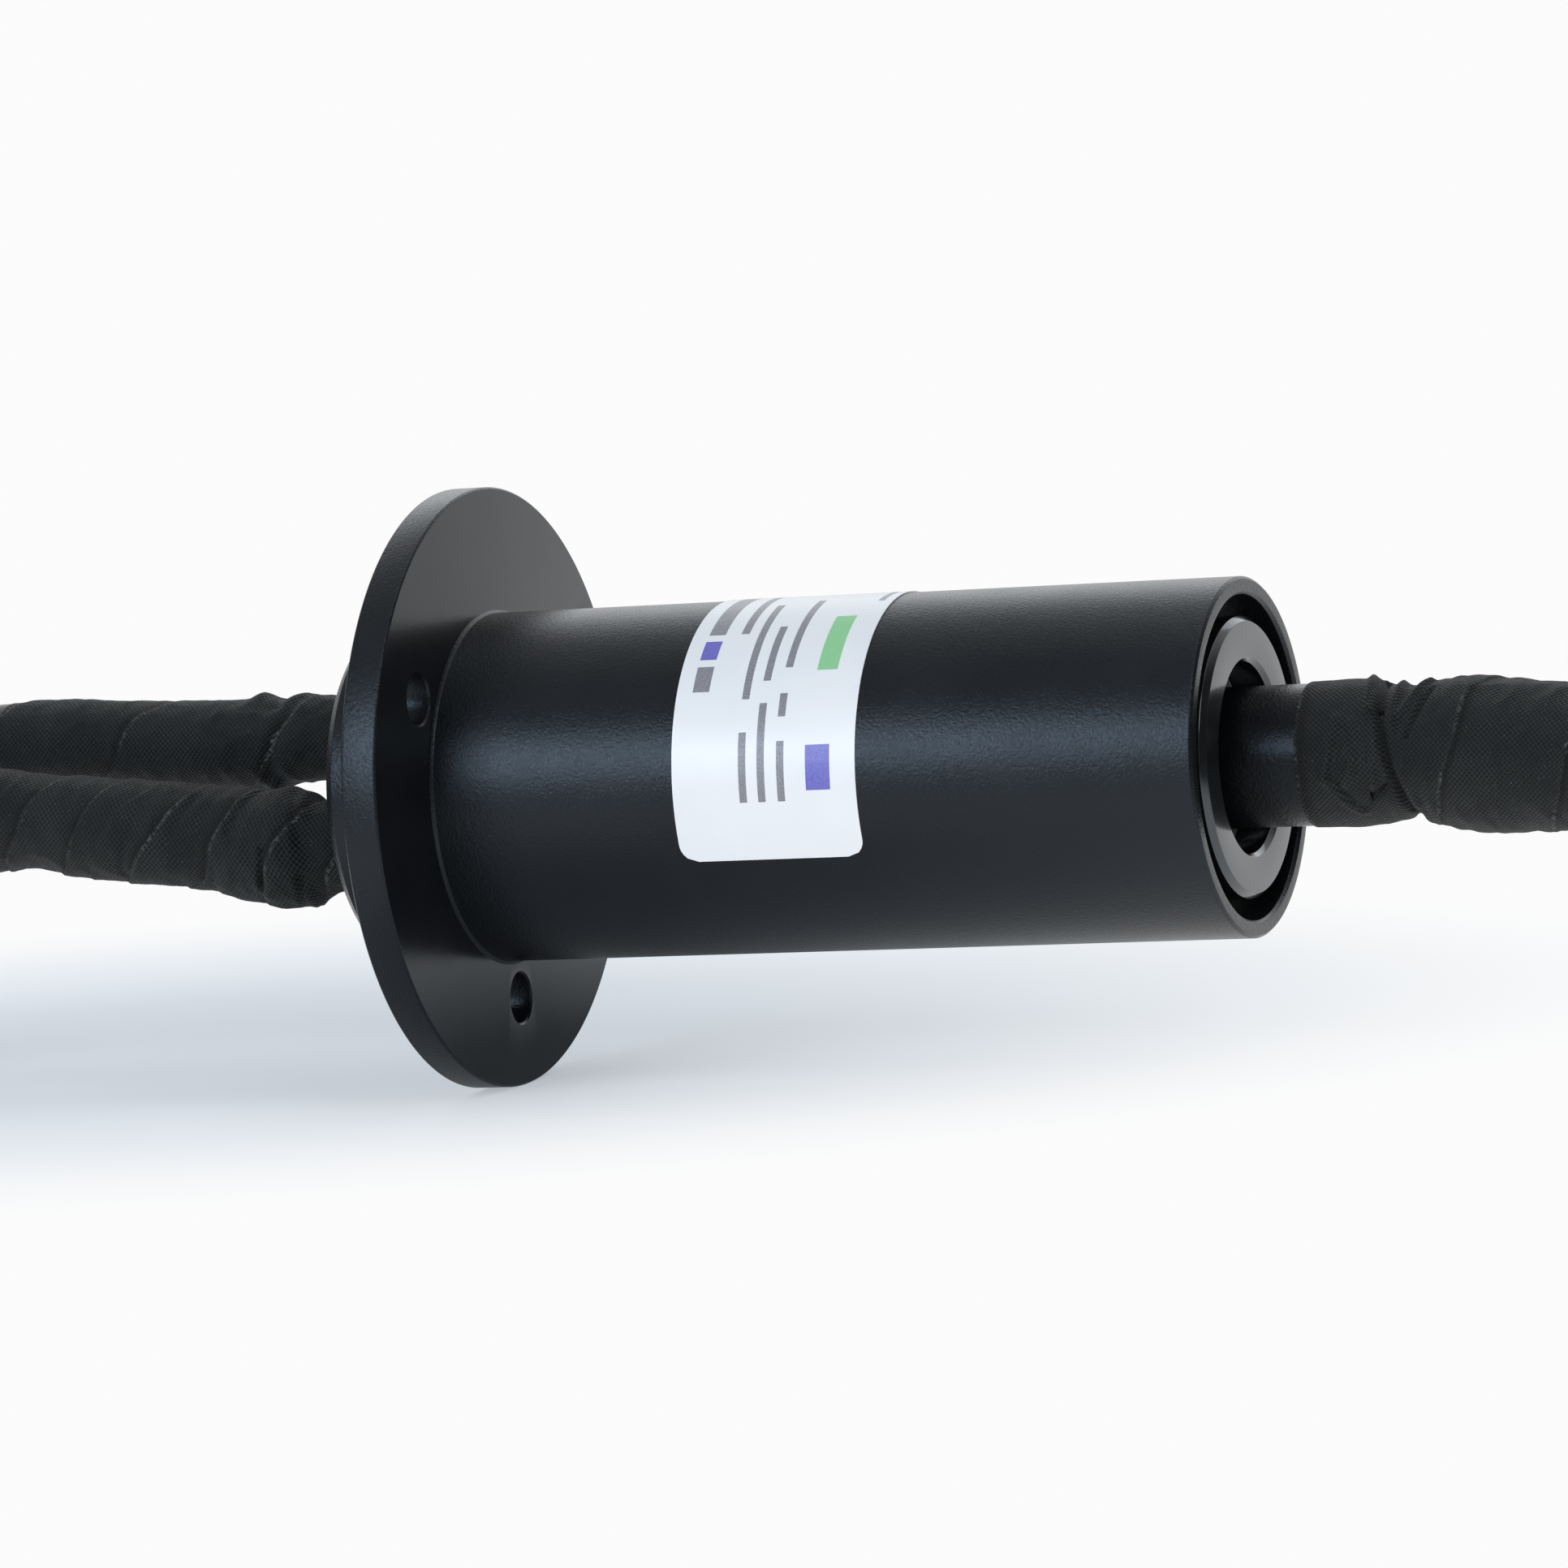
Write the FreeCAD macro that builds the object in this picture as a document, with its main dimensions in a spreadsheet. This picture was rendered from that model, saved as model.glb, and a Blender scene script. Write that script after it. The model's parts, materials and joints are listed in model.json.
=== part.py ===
import FreeCAD, Part
import math
import os
import re

import Sketcher

# Flanged capsule slip ring: a turned housing with a brush frame inside, and a rotor on two ball
# bearings whose lead leaves through the free end. Millimetres. The spin axis is X, pointing from
# the flange to the free end; Z is up, and the origin is the middle of the flange's mounting face.

SIZES = {
    "flange_dia": 62.0,
    "flange_thick": 3.8,
    "flange_edge": 0.2,
    "bolt_offset": 4.0,
    "bolt_hole_dia": 5.2,
    "bolt_hole_edge": 0.15,
    "bolt_count": 3,
    "body_dia": 36.0,
    "body_length": 81.5,
    "rim_chamfer": 0.3,
    "neck_relief": 0.3,
    "mouth_wall": 1.8,
    "mouth_depth": 6.5,
    "bearing_step": 0.2,
    "frame_wall": 3.0,
    "frame_step": 0.4,
    "frame_stop_x": 3.0,
    "boss_length": 8.4,
    "boss_chamfer": 1.0,
    "cap_rim_wall": 2.0,
    "cap_thick": 2.5,
    "fit_gap": 0.02,
    "retainer_groove_depth": 0.8,
    "retainer_thick": 1.2,
    "retainer_width": 2.4,
    "front_bearing_bore": 20.0,
    "front_bearing_width": 7.0,
    "front_ball_dia": 3.2,
    "front_ball_count": 12,
    "rear_bearing_bore": 10.0,
    "rear_bearing_dia": 19.0,
    "rear_bearing_width": 5.0,
    "rear_bearing_setback": 6.0,
    "rear_ball_dia": 2.4,
    "rear_ball_count": 8,
    "race_wall": 1.8,
    "ball_gap": 0.03,
    "plate_lip": 2.2,
    "cap_skirt_wall": 3.2,
    "cap_screw_count": 4,
    "cap_screw_dia": 2.0,
    "cap_screw_head_dia": 3.6,
    "cap_screw_length": 10.0,
    "lead_circle_dia": 15.2,
    "lead_angle": 43.0,
    "lead_hole_gap": 0.1,
    "wire_hole_wall": 0.75,
    "board_thick": 2.0,
    "board_width": 11.0,
    "board_back_gap": 1.6,
    "board_seat_rear": 3.0,
    "board_seat_front": 2.0,
    "board_slot_gap": 0.05,
    "front_plate_thick": 3.4,
    "front_plate_rim": 2.0,
    "front_plate_rim_wall": 1.4,
    "front_plate_gap": 0.6,
    "contact_ring_count": 33,
    "contact_ring_width": 1.25,
    "contact_ring_wall": 1.6,
    "contact_groove_depth": 0.6,
    "contact_groove_width": 0.66,
    "ring_end_gap": 1.5,
    "barrier_height": 0.3,
    "brush_wire_thick": 0.3,
    "brush_gap": 0.06,
    "brush_root_height": 5.0,
    "brush_overrun": 2.0,
    "core_dia": 14.0,
    "core_wall": 2.4,
    "core_blind_depth": 4.3,
    "core_collar_x": 3.7,
    "core_collar_width": 1.3,
    "core_shoulder_dia": 12.0,
    "core_seat_depth": 4.0,
    "hub_shoulder": 1.6,
    "web_thick": 1.0,
    "web_hole_dia": 10.8,
    "disc_gap": 2.1,
    "disc_thick": 4.9,
    "disc_chamfer": 0.6,
    "disc_recess_gap": 2.45,
    "disc_recess_depth": 4.0,
    "disc_recess_edge": 0.45,
    "tube_dia": 14.1,
    "tube_wall": 1.15,
    "tube_seat_depth": 6.0,
    "tube_reach": 14.0,
    "tube_edge": 0.2,
    "tape_start": 6.8,
    "tape_thick": 0.25,
    "label_start": 26.6,
    "label_width": 19.7,
    "label_low_angle": 21.7,
    "label_high_angle": 139.0,
    "label_thick": 0.1,
    "label_corner": 1.5,
    "rotor_lead_dia": 15.0,
    "near_lead_dia": 11.0,
    "far_lead_dia": 8.8,
    "lead_straight": 14.0,
    "tail_length": 30.0,
    "tail_share": 0.86,
    "tail_lobe_depth": 0.5,
}

# Centre lines of the three leads. The first point of each is worked out from its exit.
ROTOR_ROUTE = [
    (127.0, -1.5, -3.0),
    (149.0, -4.6, -8.9),
    (173.0, -7.6, -17.2),
    (197.0, -8.8, -22.6),
    (221.0, -7.4, -23.4),
    (246.0, -3.6, -23.5),
    (270.0, -2.2, -23.5),
    (293.0, -3.4, -23.5),
    (314.0, -6.6, -23.5),
]
NEAR_ROUTE = [
    (-41.0, -5.9, -2.3),
    (-61.0, -5.2, 0.0),
    (-83.0, -4.4, -4.2),
    (-106.0, -5.6, -14.6),
    (-129.0, -8.6, -22.4),
    (-152.0, -9.8, -25.3),
    (-176.0, -7.6, -25.5),
    (-201.0, -6.4, -25.5),
    (-225.6, -8.3, -25.5),
]
FAR_ROUTE = [
    (-41.0, 6.1, 5.7),
    (-60.0, 7.0, 6.8),
    (-79.0, 8.6, 3.9),
    (-98.0, 10.6, -3.4),
    (-117.0, 13.2, -13.0),
    (-136.0, 15.4, -21.4),
    (-156.0, 16.4, -26.0),
    (-178.0, 14.6, -26.6),
    (-201.0, 13.2, -26.6),
    (-223.0, 14.2, -26.6),
]
RUN_SHARE = 0.45
TAIL_LOBES = 12
EDGE_TOLERANCE = 1e-6

doc = FreeCAD.newDocument("SlipRing")
sheet = doc.addObject("Spreadsheet::Sheet", "Sizes")
for row, (alias, number) in enumerate(SIZES.items(), start=1):
    sheet.set("A%d" % row, alias)
    sheet.set("B%d" % row, str(number))
    sheet.setAlias("B%d" % row, alias)
doc.recompute()

parts = []


def value(expression):
    """The number that an expression of sheet aliases gives."""
    return float(sheet.evalExpression(expression))


def bound(expression):
    """The same expression, with each alias read from the sheet."""
    return re.sub(r"[a-z]+(?:_[a-z]+)+", lambda name: "Sizes." + name.group(0), expression)


def origin_feature(body, role):
    """The plane or axis of a body's own origin that has this role."""
    for feature in body.Origin.OriginFeatures:
        if feature.Role == role:
            return feature
    raise ValueError(role)


def new_body(label):
    """An empty body, listed among the parts that are written."""
    body = doc.addObject("PartDesign::Body", label)
    body.Label = label
    body.AllowCompound = True
    parts.append(body)
    return body


def new_sketch(body, name, role, offset="0"):
    """A sketch on one of the body's origin planes, moved along the plane's normal."""
    sketch = body.newObject("Sketcher::SketchObject", name)
    sketch.AttachmentSupport = (origin_feature(body, role), [""])
    sketch.MapMode = "FlatFace"
    sketch.AttachmentOffset = FreeCAD.Placement(FreeCAD.Vector(0, 0, value(offset)), FreeCAD.Rotation())
    sketch.setExpression("AttachmentOffset.Base.z", bound(offset))
    return sketch


def fix_point(sketch, line, end, across, up):
    """Hold one end of a line at two distances that follow the sheet."""
    for kind, expression in (("DistanceX", across), ("DistanceY", up)):
        size = Sketcher.Constraint(kind, -1, 1, line, end, value(expression))
        index = sketch.addConstraint(size)
        sketch.setExpression("Constraints[%d]" % index, bound(expression))


def draw_outline(sketch, outline):
    """A closed outline through corners given as pairs of expressions."""
    corners = [FreeCAD.Vector(value(across), value(up), 0) for across, up in outline]
    count = len(corners)
    for index in range(count):
        sketch.addGeometry(Part.LineSegment(corners[index], corners[(index + 1) % count]), False)
    for index in range(count):
        sketch.addConstraint(Sketcher.Constraint("Coincident", index, 2, (index + 1) % count, 1))
    for index, (across, up) in enumerate(outline):
        fix_point(sketch, index, 1, across, up)


def draw_circle(sketch, across, up, radius):
    """A circle whose centre and radius follow the sheet."""
    centre = FreeCAD.Vector(value(across), value(up), 0)
    circle = Part.Circle(centre, FreeCAD.Vector(0, 0, 1), value(radius))
    index = sketch.addGeometry(circle, False)
    fix_point(sketch, index, 3, across, up)
    size = sketch.addConstraint(Sketcher.Constraint("Radius", index, value(radius)))
    sketch.setExpression("Constraints[%d]" % size, bound(radius))


def turn(body, outline, axis="0", angle="360"):
    """Turn a half section, given as (x, radius) corners, about the X axis or a line beside it."""
    sketch = new_sketch(body, body.Label + "_section", "XZ_Plane")
    draw_outline(sketch, [(across, "(%s) + (%s)" % (axis, up)) for across, up in outline])
    turned = body.newObject("PartDesign::Revolution", body.Label + "_turned")
    turned.Profile = sketch
    turned.ReferenceAxis = (sketch, ["H_Axis"])
    if axis != "0":
        line = sketch.addGeometry(Part.LineSegment(
            FreeCAD.Vector(0, value(axis), 0), FreeCAD.Vector(1, value(axis), 0)), True)
        fix_point(sketch, line, 1, "0", axis)
        fix_point(sketch, line, 2, "1", axis)
        turned.ReferenceAxis = (sketch, ["Axis0"])
    turned.Angle = value(angle)
    turned.setExpression("Angle", bound(angle))
    body.Tip = turned
    doc.recompute()
    return turned


def turned_body(label, outline):
    """A body that is one turned piece."""
    body = new_body(label)
    turn(body, outline)
    return body


def cut(body, name, draw, start="0", depth=None):
    """Cut a YZ sketch through the whole body, or from start to a depth along X."""
    before = body.Shape.Volume
    sketch = new_sketch(body, name + "_sketch", "YZ_Plane", start)
    draw(sketch)
    pocket = body.newObject("PartDesign::Pocket", name)
    pocket.Profile = sketch
    if depth is None:
        pocket.Type = "ThroughAll"
        pocket.Midplane = True
    else:
        pocket.Length = value(depth)
        pocket.setExpression("Length", bound(depth))
        pocket.Reversed = True
    body.Tip = pocket
    doc.recompute()
    if not body.Shape.Volume < before:
        raise ValueError(name + " cuts nothing")
    return pocket


def polar(body, name, feature, count):
    """Repeat a feature evenly about the X axis."""
    pattern = body.newObject("PartDesign::PolarPattern", name)
    pattern.Originals = [feature]
    pattern.Axis = (origin_feature(body, "X_Axis"), [""])
    pattern.Angle = 360
    pattern.Occurrences = int(value(count))
    pattern.setExpression("Occurrences", bound(count))
    body.Tip = pattern
    doc.recompute()
    return pattern


def edge_names(shape, wanted):
    """Names of the edges that a test picks."""
    return ["Edge%d" % (index + 1) for index, edge in enumerate(shape.Edges) if wanted(edge)]


def dress(body, kind, name, wanted, property_name, size):
    """A chamfer or a fillet on the edges that a test picks."""
    base = body.Tip
    feature = body.newObject("PartDesign::" + kind, name)
    feature.Base = (base, edge_names(base.Shape, wanted))
    setattr(feature, property_name, value(size))
    feature.setExpression(property_name, bound(size))
    body.Tip = feature
    doc.recompute()
    return feature


def is_circle(edge, radius):
    """True for a full circle of this radius."""
    round_edge = isinstance(edge.Curve, Part.Circle) and edge.Closed
    return round_edge and abs(edge.Curve.Radius - radius) < EDGE_TOLERANCE


# Places along the axis, radii and a pitch that more than one piece uses.
REAR_FACE = "-flange_thick - boss_length"
CAP_SEAT = REAR_FACE + " + cap_thick"
REAR_BEARING = "frame_stop_x - rear_bearing_setback"
PLATE_REAR = REAR_BEARING + " - plate_lip"
BEARING_FRONT = "body_length - mouth_depth"
BEARING_REAR = BEARING_FRONT + " - front_bearing_width"
RETAINER_FRONT = BEARING_FRONT + " + retainer_thick"
FRONT_PLATE_FACE = BEARING_REAR + " - front_plate_rim"
FRONT_PLATE_REAR = FRONT_PLATE_FACE + " - front_plate_thick"
BOARD_REAR = "frame_stop_x - board_seat_rear"
BOARD_FRONT = FRONT_PLATE_REAR + " + board_seat_front"
TUBE_SEAT = "body_length - disc_recess_depth - tube_seat_depth"
TUBE_END = "body_length + tube_reach"
HUB_SEAT = TUBE_SEAT + " - web_thick"
HUB_REAR = HUB_SEAT + " - core_seat_depth"
COLLAR_FRONT = "core_collar_x + core_collar_width"
MOUTH_RADIUS = "(body_dia / 2 - mouth_wall)"
FRONT_BEARING_RADIUS = "(body_dia / 2 - mouth_wall - bearing_step)"
FRAME_RADIUS = "(body_dia / 2 - frame_wall)"
BARREL_RADIUS = "(body_dia / 2 - frame_wall - frame_step)"
CAP_RADIUS = "(body_dia / 2 - cap_rim_wall)"
CAP_SCREW_RADIUS = "(body_dia / 2 - frame_wall - cap_skirt_wall / 2)"
RETAINER_RADIUS = "(body_dia / 2 - mouth_wall + retainer_groove_depth)"
BOARD_OUTSIDE = "(body_dia / 2 - frame_wall - frame_step - board_back_gap)"
BOARD_INSIDE = "(body_dia / 2 - frame_wall - frame_step - board_back_gap - board_thick)"
RING_RADIUS = "(core_dia / 2 + contact_ring_wall)"
GROOVE_RADIUS = "(core_dia / 2 + contact_ring_wall - contact_groove_depth)"
RING_PITCH = "(%s - ring_end_gap - core_collar_x - core_collar_width) / contact_ring_count" % (
    FRONT_PLATE_REAR)
RING_HALF = "contact_ring_width / 2"


def ring_place(index):
    """Middle of a contact ring, counted from the collar."""
    return "%s + %d * %s - %s" % (COLLAR_FRONT, index + 1, RING_PITCH, RING_HALF)


def make_housing():
    """Barrel, flange and rear boss, turned from one bar, with the bolt holes drilled after."""
    body = new_body("housing")
    turn(body, [
        (REAR_FACE, CAP_RADIUS),
        (REAR_FACE, "body_dia / 2 - boss_chamfer"),
        (REAR_FACE + " + boss_chamfer", "body_dia / 2"),
        ("-flange_thick", "body_dia / 2"),
        ("-flange_thick", "flange_dia / 2 - flange_edge"),
        ("-flange_thick + flange_edge", "flange_dia / 2"),
        ("-flange_edge", "flange_dia / 2"),
        ("0", "flange_dia / 2 - flange_edge"),
        ("0", "body_dia / 2 + neck_relief"),
        ("neck_relief", "body_dia / 2"),
        ("body_length - rim_chamfer", "body_dia / 2"),
        ("body_length", "body_dia / 2 - rim_chamfer"),
        ("body_length", MOUTH_RADIUS + " + rim_chamfer"),
        ("body_length - rim_chamfer", MOUTH_RADIUS),
        (RETAINER_FRONT + " + fit_gap", MOUTH_RADIUS),
        (RETAINER_FRONT + " + fit_gap", RETAINER_RADIUS),
        (BEARING_FRONT, RETAINER_RADIUS),
        (BEARING_FRONT, FRONT_BEARING_RADIUS + " + fit_gap"),
        (BEARING_REAR, FRONT_BEARING_RADIUS + " + fit_gap"),
        (BEARING_REAR, BARREL_RADIUS),
        ("frame_stop_x", BARREL_RADIUS),
        ("frame_stop_x", FRAME_RADIUS),
        (CAP_SEAT, FRAME_RADIUS),
        (CAP_SEAT, CAP_RADIUS),
    ])
    hole = cut(body, "bolt_hole", lambda sketch: draw_circle(
        sketch, "0", "-body_dia / 2 - bolt_offset", "bolt_hole_dia / 2"))
    polar(body, "bolt_holes", hole, "bolt_count")
    dress(body, "Chamfer", "bolt_hole_edges",
          lambda edge: is_circle(edge, value("bolt_hole_dia / 2")), "Size", "bolt_hole_edge")


def make_rear_cap():
    """Disc in the boss's rear seat with a skirt that holds the frame; leads and screws pass it."""
    body = new_body("rear_cap")
    turn(body, [
        (REAR_FACE, "0"),
        (REAR_FACE, CAP_RADIUS + " - fit_gap"),
        (CAP_SEAT, CAP_RADIUS + " - fit_gap"),
        (CAP_SEAT, FRAME_RADIUS + " - fit_gap"),
        (PLATE_REAR, FRAME_RADIUS + " - fit_gap"),
        (PLATE_REAR, FRAME_RADIUS + " - cap_skirt_wall"),
        (CAP_SEAT, FRAME_RADIUS + " - cap_skirt_wall"),
        (CAP_SEAT, "0"),
    ])
    for side, dia in (("-", "near_lead_dia"), ("+", "far_lead_dia")):
        cut(body, dia + "_hole", lambda sketch: draw_circle(
            sketch, side + "lead_circle_dia / 2 * cos(lead_angle)",
            side + "lead_circle_dia / 2 * sin(lead_angle)", dia + " / 2 + lead_hole_gap"))
    screw_hole = cut(body, "screw_hole", draw_cap_screw_circle)
    polar(body, "screw_holes", screw_hole, "cap_screw_count")
    dress(body, "Chamfer", "countersinks",
          lambda edge: is_circle(edge, value("cap_screw_dia / 2 + fit_gap"))
          and edge.Curve.Center.x < value(CAP_SEAT),
          "Size", "cap_screw_head_dia / 2 - cap_screw_dia / 2")


def draw_cap_screw_circle(sketch):
    """The hole of one cap screw, halfway round between the two leads."""
    draw_circle(sketch, CAP_SCREW_RADIUS + " * cos(lead_angle + 45)",
                CAP_SCREW_RADIUS + " * sin(lead_angle + 45)", "cap_screw_dia / 2 + fit_gap")


def make_rear_cap_screws():
    """Countersunk screws that pull the cap and the bearing plate together."""
    body = new_body("rear_cap_screws")
    head_depth = "(cap_screw_head_dia - cap_screw_dia) / 2"
    screw = turn(body, [
        (REAR_FACE, "0"),
        (REAR_FACE, "cap_screw_head_dia / 2"),
        (REAR_FACE + " + " + head_depth, "cap_screw_dia / 2"),
        (REAR_FACE + " + cap_screw_length", "cap_screw_dia / 2"),
        (REAR_FACE + " + cap_screw_length", "0"),
    ], axis=CAP_SCREW_RADIUS)
    polar(body, "screws", screw, "cap_screw_count")
    body.Placement = FreeCAD.Placement(
        FreeCAD.Vector(), FreeCAD.Rotation(FreeCAD.Vector(1, 0, 0), value("lead_angle + 45 - 90")))
    body.setExpression("Placement.Rotation.Angle", bound("lead_angle + 45 - 90"))


def board_slot(sketch, side):
    """The slot that one brush board stands in."""
    inner = side + "(" + BOARD_INSIDE + " - board_slot_gap)"
    outer = side + "(" + BOARD_OUTSIDE + " + board_slot_gap)"
    half = "board_width / 2 + board_slot_gap"
    draw_outline(sketch, [(inner, "-(%s)" % half), (outer, "-(%s)" % half), (outer, half), (inner, half)])


def make_rear_bearing_plate():
    """Plate against the step in the bore; carries the rear bearing and the boards' rear ends."""
    body = new_body("rear_bearing_plate")
    turn(body, [
        (PLATE_REAR, "rear_bearing_dia / 2 - race_wall / 2"),
        (PLATE_REAR, FRAME_RADIUS + " - fit_gap"),
        ("frame_stop_x", FRAME_RADIUS + " - fit_gap"),
        ("frame_stop_x", "rear_bearing_dia / 2 + fit_gap"),
        (REAR_BEARING, "rear_bearing_dia / 2 + fit_gap"),
        (REAR_BEARING, "rear_bearing_dia / 2 - race_wall / 2"),
    ])
    for name, side in (("slot_a", "+"), ("slot_b", "-")):
        cut(body, "rear_" + name, lambda sketch: board_slot(sketch, side),
            start=BOARD_REAR, depth="board_seat_rear")
    circle = "(%s + rear_bearing_dia / 2) / 2" % FRAME_RADIUS
    wire_hole = "(%s - rear_bearing_dia / 2) / 2 - wire_hole_wall" % FRAME_RADIUS
    for name, side in (("far_wire_hole", "+"), ("near_wire_hole", "-")):
        cut(body, name, lambda sketch: draw_circle(
            sketch, side + circle + " * cos(lead_angle)",
            side + circle + " * sin(lead_angle)", wire_hole))
    thread_depth = "cap_screw_length + (%s) - (%s) + fit_gap" % (REAR_FACE, PLATE_REAR)
    screw_hole = cut(body, "thread_hole", draw_cap_screw_circle, PLATE_REAR, thread_depth)
    polar(body, "thread_holes", screw_hole, "cap_screw_count")


def make_front_plate():
    """Plate that holds the boards' front ends and bears on the front bearing."""
    body = new_body("front_frame_plate")
    bore = "core_dia / 2 + front_plate_gap"
    outer = BARREL_RADIUS + " - fit_gap"
    turn(body, [
        (FRONT_PLATE_REAR, bore),
        (FRONT_PLATE_REAR, outer),
        (BEARING_REAR, outer),
        (BEARING_REAR, outer + " - front_plate_rim_wall"),
        (FRONT_PLATE_FACE, outer + " - front_plate_rim_wall"),
        (FRONT_PLATE_FACE, bore),
    ])
    for name, side in (("slot_a", "+"), ("slot_b", "-")):
        cut(body, "front_" + name, lambda sketch: board_slot(sketch, side),
            start=FRONT_PLATE_REAR, depth="board_seat_front")


def make_bearing(name, start, width, inside, outside, ball, count):
    """A deep groove ball bearing: two races with a round groove each, and the balls between."""
    pitch = "(%s + %s) / 2" % (inside, outside)
    end = "%s + %s" % (start, width)
    middle = "%s + %s / 2" % (start, width)
    races = (
        (name + "_outer", outside + " - race_wall", outside),
        (name + "_inner", inside, inside + " + race_wall"),
    )
    for label, low, high in races:
        body = new_body(label)
        turn(body, [(start, low), (start, high), (end, high), (end, low)])
        sketch = new_sketch(body, label + "_groove_section", "XZ_Plane")
        draw_circle(sketch, middle, pitch, "%s / 2 + ball_gap" % ball)
        groove = body.newObject("PartDesign::Groove", label + "_groove")
        groove.Profile = sketch
        groove.ReferenceAxis = (sketch, ["H_Axis"])
        groove.Angle = 360
        body.Tip = groove
    balls = doc.addObject("Part::Compound", name + "_balls")
    balls.Label = name + "_balls"
    balls.Links = [make_ball(name, index, middle, pitch, ball, count)
                   for index in range(int(value(count)))]
    parts.append(balls)


def make_ball(name, index, middle, pitch, ball, count):
    """One ball, at its place round the pitch circle."""
    sphere = doc.addObject("Part::Sphere", "%s_ball_%02d" % (name, index))
    angle = "360 * %d / %s" % (index, count)
    sphere.setExpression("Radius", bound("%s / 2" % ball))
    sphere.setExpression("Placement.Base.x", bound(middle))
    sphere.setExpression("Placement.Base.y", bound("%s * sin(%s)" % (pitch, angle)))
    sphere.setExpression("Placement.Base.z", bound("%s * cos(%s)" % (pitch, angle)))
    return sphere


def make_retaining_ring():
    """Split ring in the mouth's groove, in front of the front bearing."""
    body = new_body("bearing_retaining_ring")
    outer = RETAINER_RADIUS + " - fit_gap"
    turn(body, [
        (BEARING_FRONT, outer + " - retainer_width"),
        (BEARING_FRONT, outer),
        (RETAINER_FRONT, outer),
        (RETAINER_FRONT, outer + " - retainer_width"),
    ])
    cut(body, "ring_split", lambda sketch: draw_outline(sketch, [
        ("-retainer_width", "-body_dia"), ("retainer_width", "-body_dia"),
        ("retainer_width", "0"), ("-retainer_width", "0")]))


def make_boards():
    """The two boards that the brush wires are soldered to, left and right of the rings."""
    for label, side in (("brush_board_a", "+"), ("brush_board_b", "-")):
        body = new_body(label)
        sketch = new_sketch(body, label + "_section", "YZ_Plane", BOARD_REAR)
        near = side + BOARD_INSIDE
        away = side + BOARD_OUTSIDE
        half = "board_width / 2"
        draw_outline(sketch, [(near, "-" + half), (away, "-" + half), (away, half), (near, half)])
        pad = body.newObject("PartDesign::Pad", label + "_pad")
        pad.Profile = sketch
        pad.Length = value("(%s) - (%s)" % (BOARD_FRONT, BOARD_REAR))
        pad.setExpression("Length", bound("(%s) - (%s)" % (BOARD_FRONT, BOARD_REAR)))
        body.Tip = pad


def brush_wire_corners():
    """Corners of one wire: it leaves the board at a slant and just clears the ring's groove."""
    reach = value(GROOVE_RADIUS + " + brush_gap + brush_wire_thick / 2")
    root = FreeCAD.Vector(0, value(BOARD_INSIDE), value("brush_root_height"))
    slant = math.atan2(root.z, root.y) + math.acos(reach / root.Length)
    touch = FreeCAD.Vector(0, reach * math.cos(slant), reach * math.sin(slant))
    along = (touch - root).normalize()
    half = FreeCAD.Vector(0, math.cos(slant), math.sin(slant)) * value("brush_wire_thick / 2")
    shift = along * (half.y / along.y)
    tip = touch + along * value("brush_overrun")
    return [root - half + shift, tip - half, tip + half, root + half - shift]


def make_brush_wires():
    """Pairs of wires, one above and one below each ring; the boards serve every other ring."""
    corners = brush_wire_corners()
    face = Part.Face(Part.makePolygon(corners + corners[:1]))
    wire = face.extrude(FreeCAD.Vector(value("brush_wire_thick"), 0, 0))
    middle = FreeCAD.Vector()
    for label, first, turned in (("brush_wires_a", 0, 0), ("brush_wires_b", 1, 180)):
        pair = []
        for index in range(first, int(value("contact_ring_count")), 2):
            place = value(ring_place(index) + " - brush_wire_thick / 2")
            upper = wire.copy()
            upper.rotate(middle, FreeCAD.Vector(1, 0, 0), turned)
            upper.translate(FreeCAD.Vector(place, 0, 0))
            pair += [upper, upper.mirror(middle, FreeCAD.Vector(0, 0, 1))]
        add_shape(label, Part.makeCompound(pair))


def add_shape(label, shape):
    """A finished shape as a part of its own."""
    feature = doc.addObject("Part::Feature", label)
    feature.Label = label
    feature.Shape = shape
    feature.Placement = FreeCAD.Placement()
    parts.append(feature)


def make_contact_rings():
    """One grooved ring for each circuit, spaced along the core."""
    for index in range(int(value("contact_ring_count"))):
        body = turned_body("contact_ring_%02d" % (index + 1), [
            ("-" + RING_HALF, "core_dia / 2 + fit_gap"),
            ("-" + RING_HALF, RING_RADIUS),
            ("-contact_groove_width / 2", GROOVE_RADIUS),
            ("contact_groove_width / 2", GROOVE_RADIUS),
            (RING_HALF, RING_RADIUS),
            (RING_HALF, "core_dia / 2 + fit_gap"),
        ])
        body.setExpression("Placement.Base.x", bound(ring_place(index)))


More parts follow.
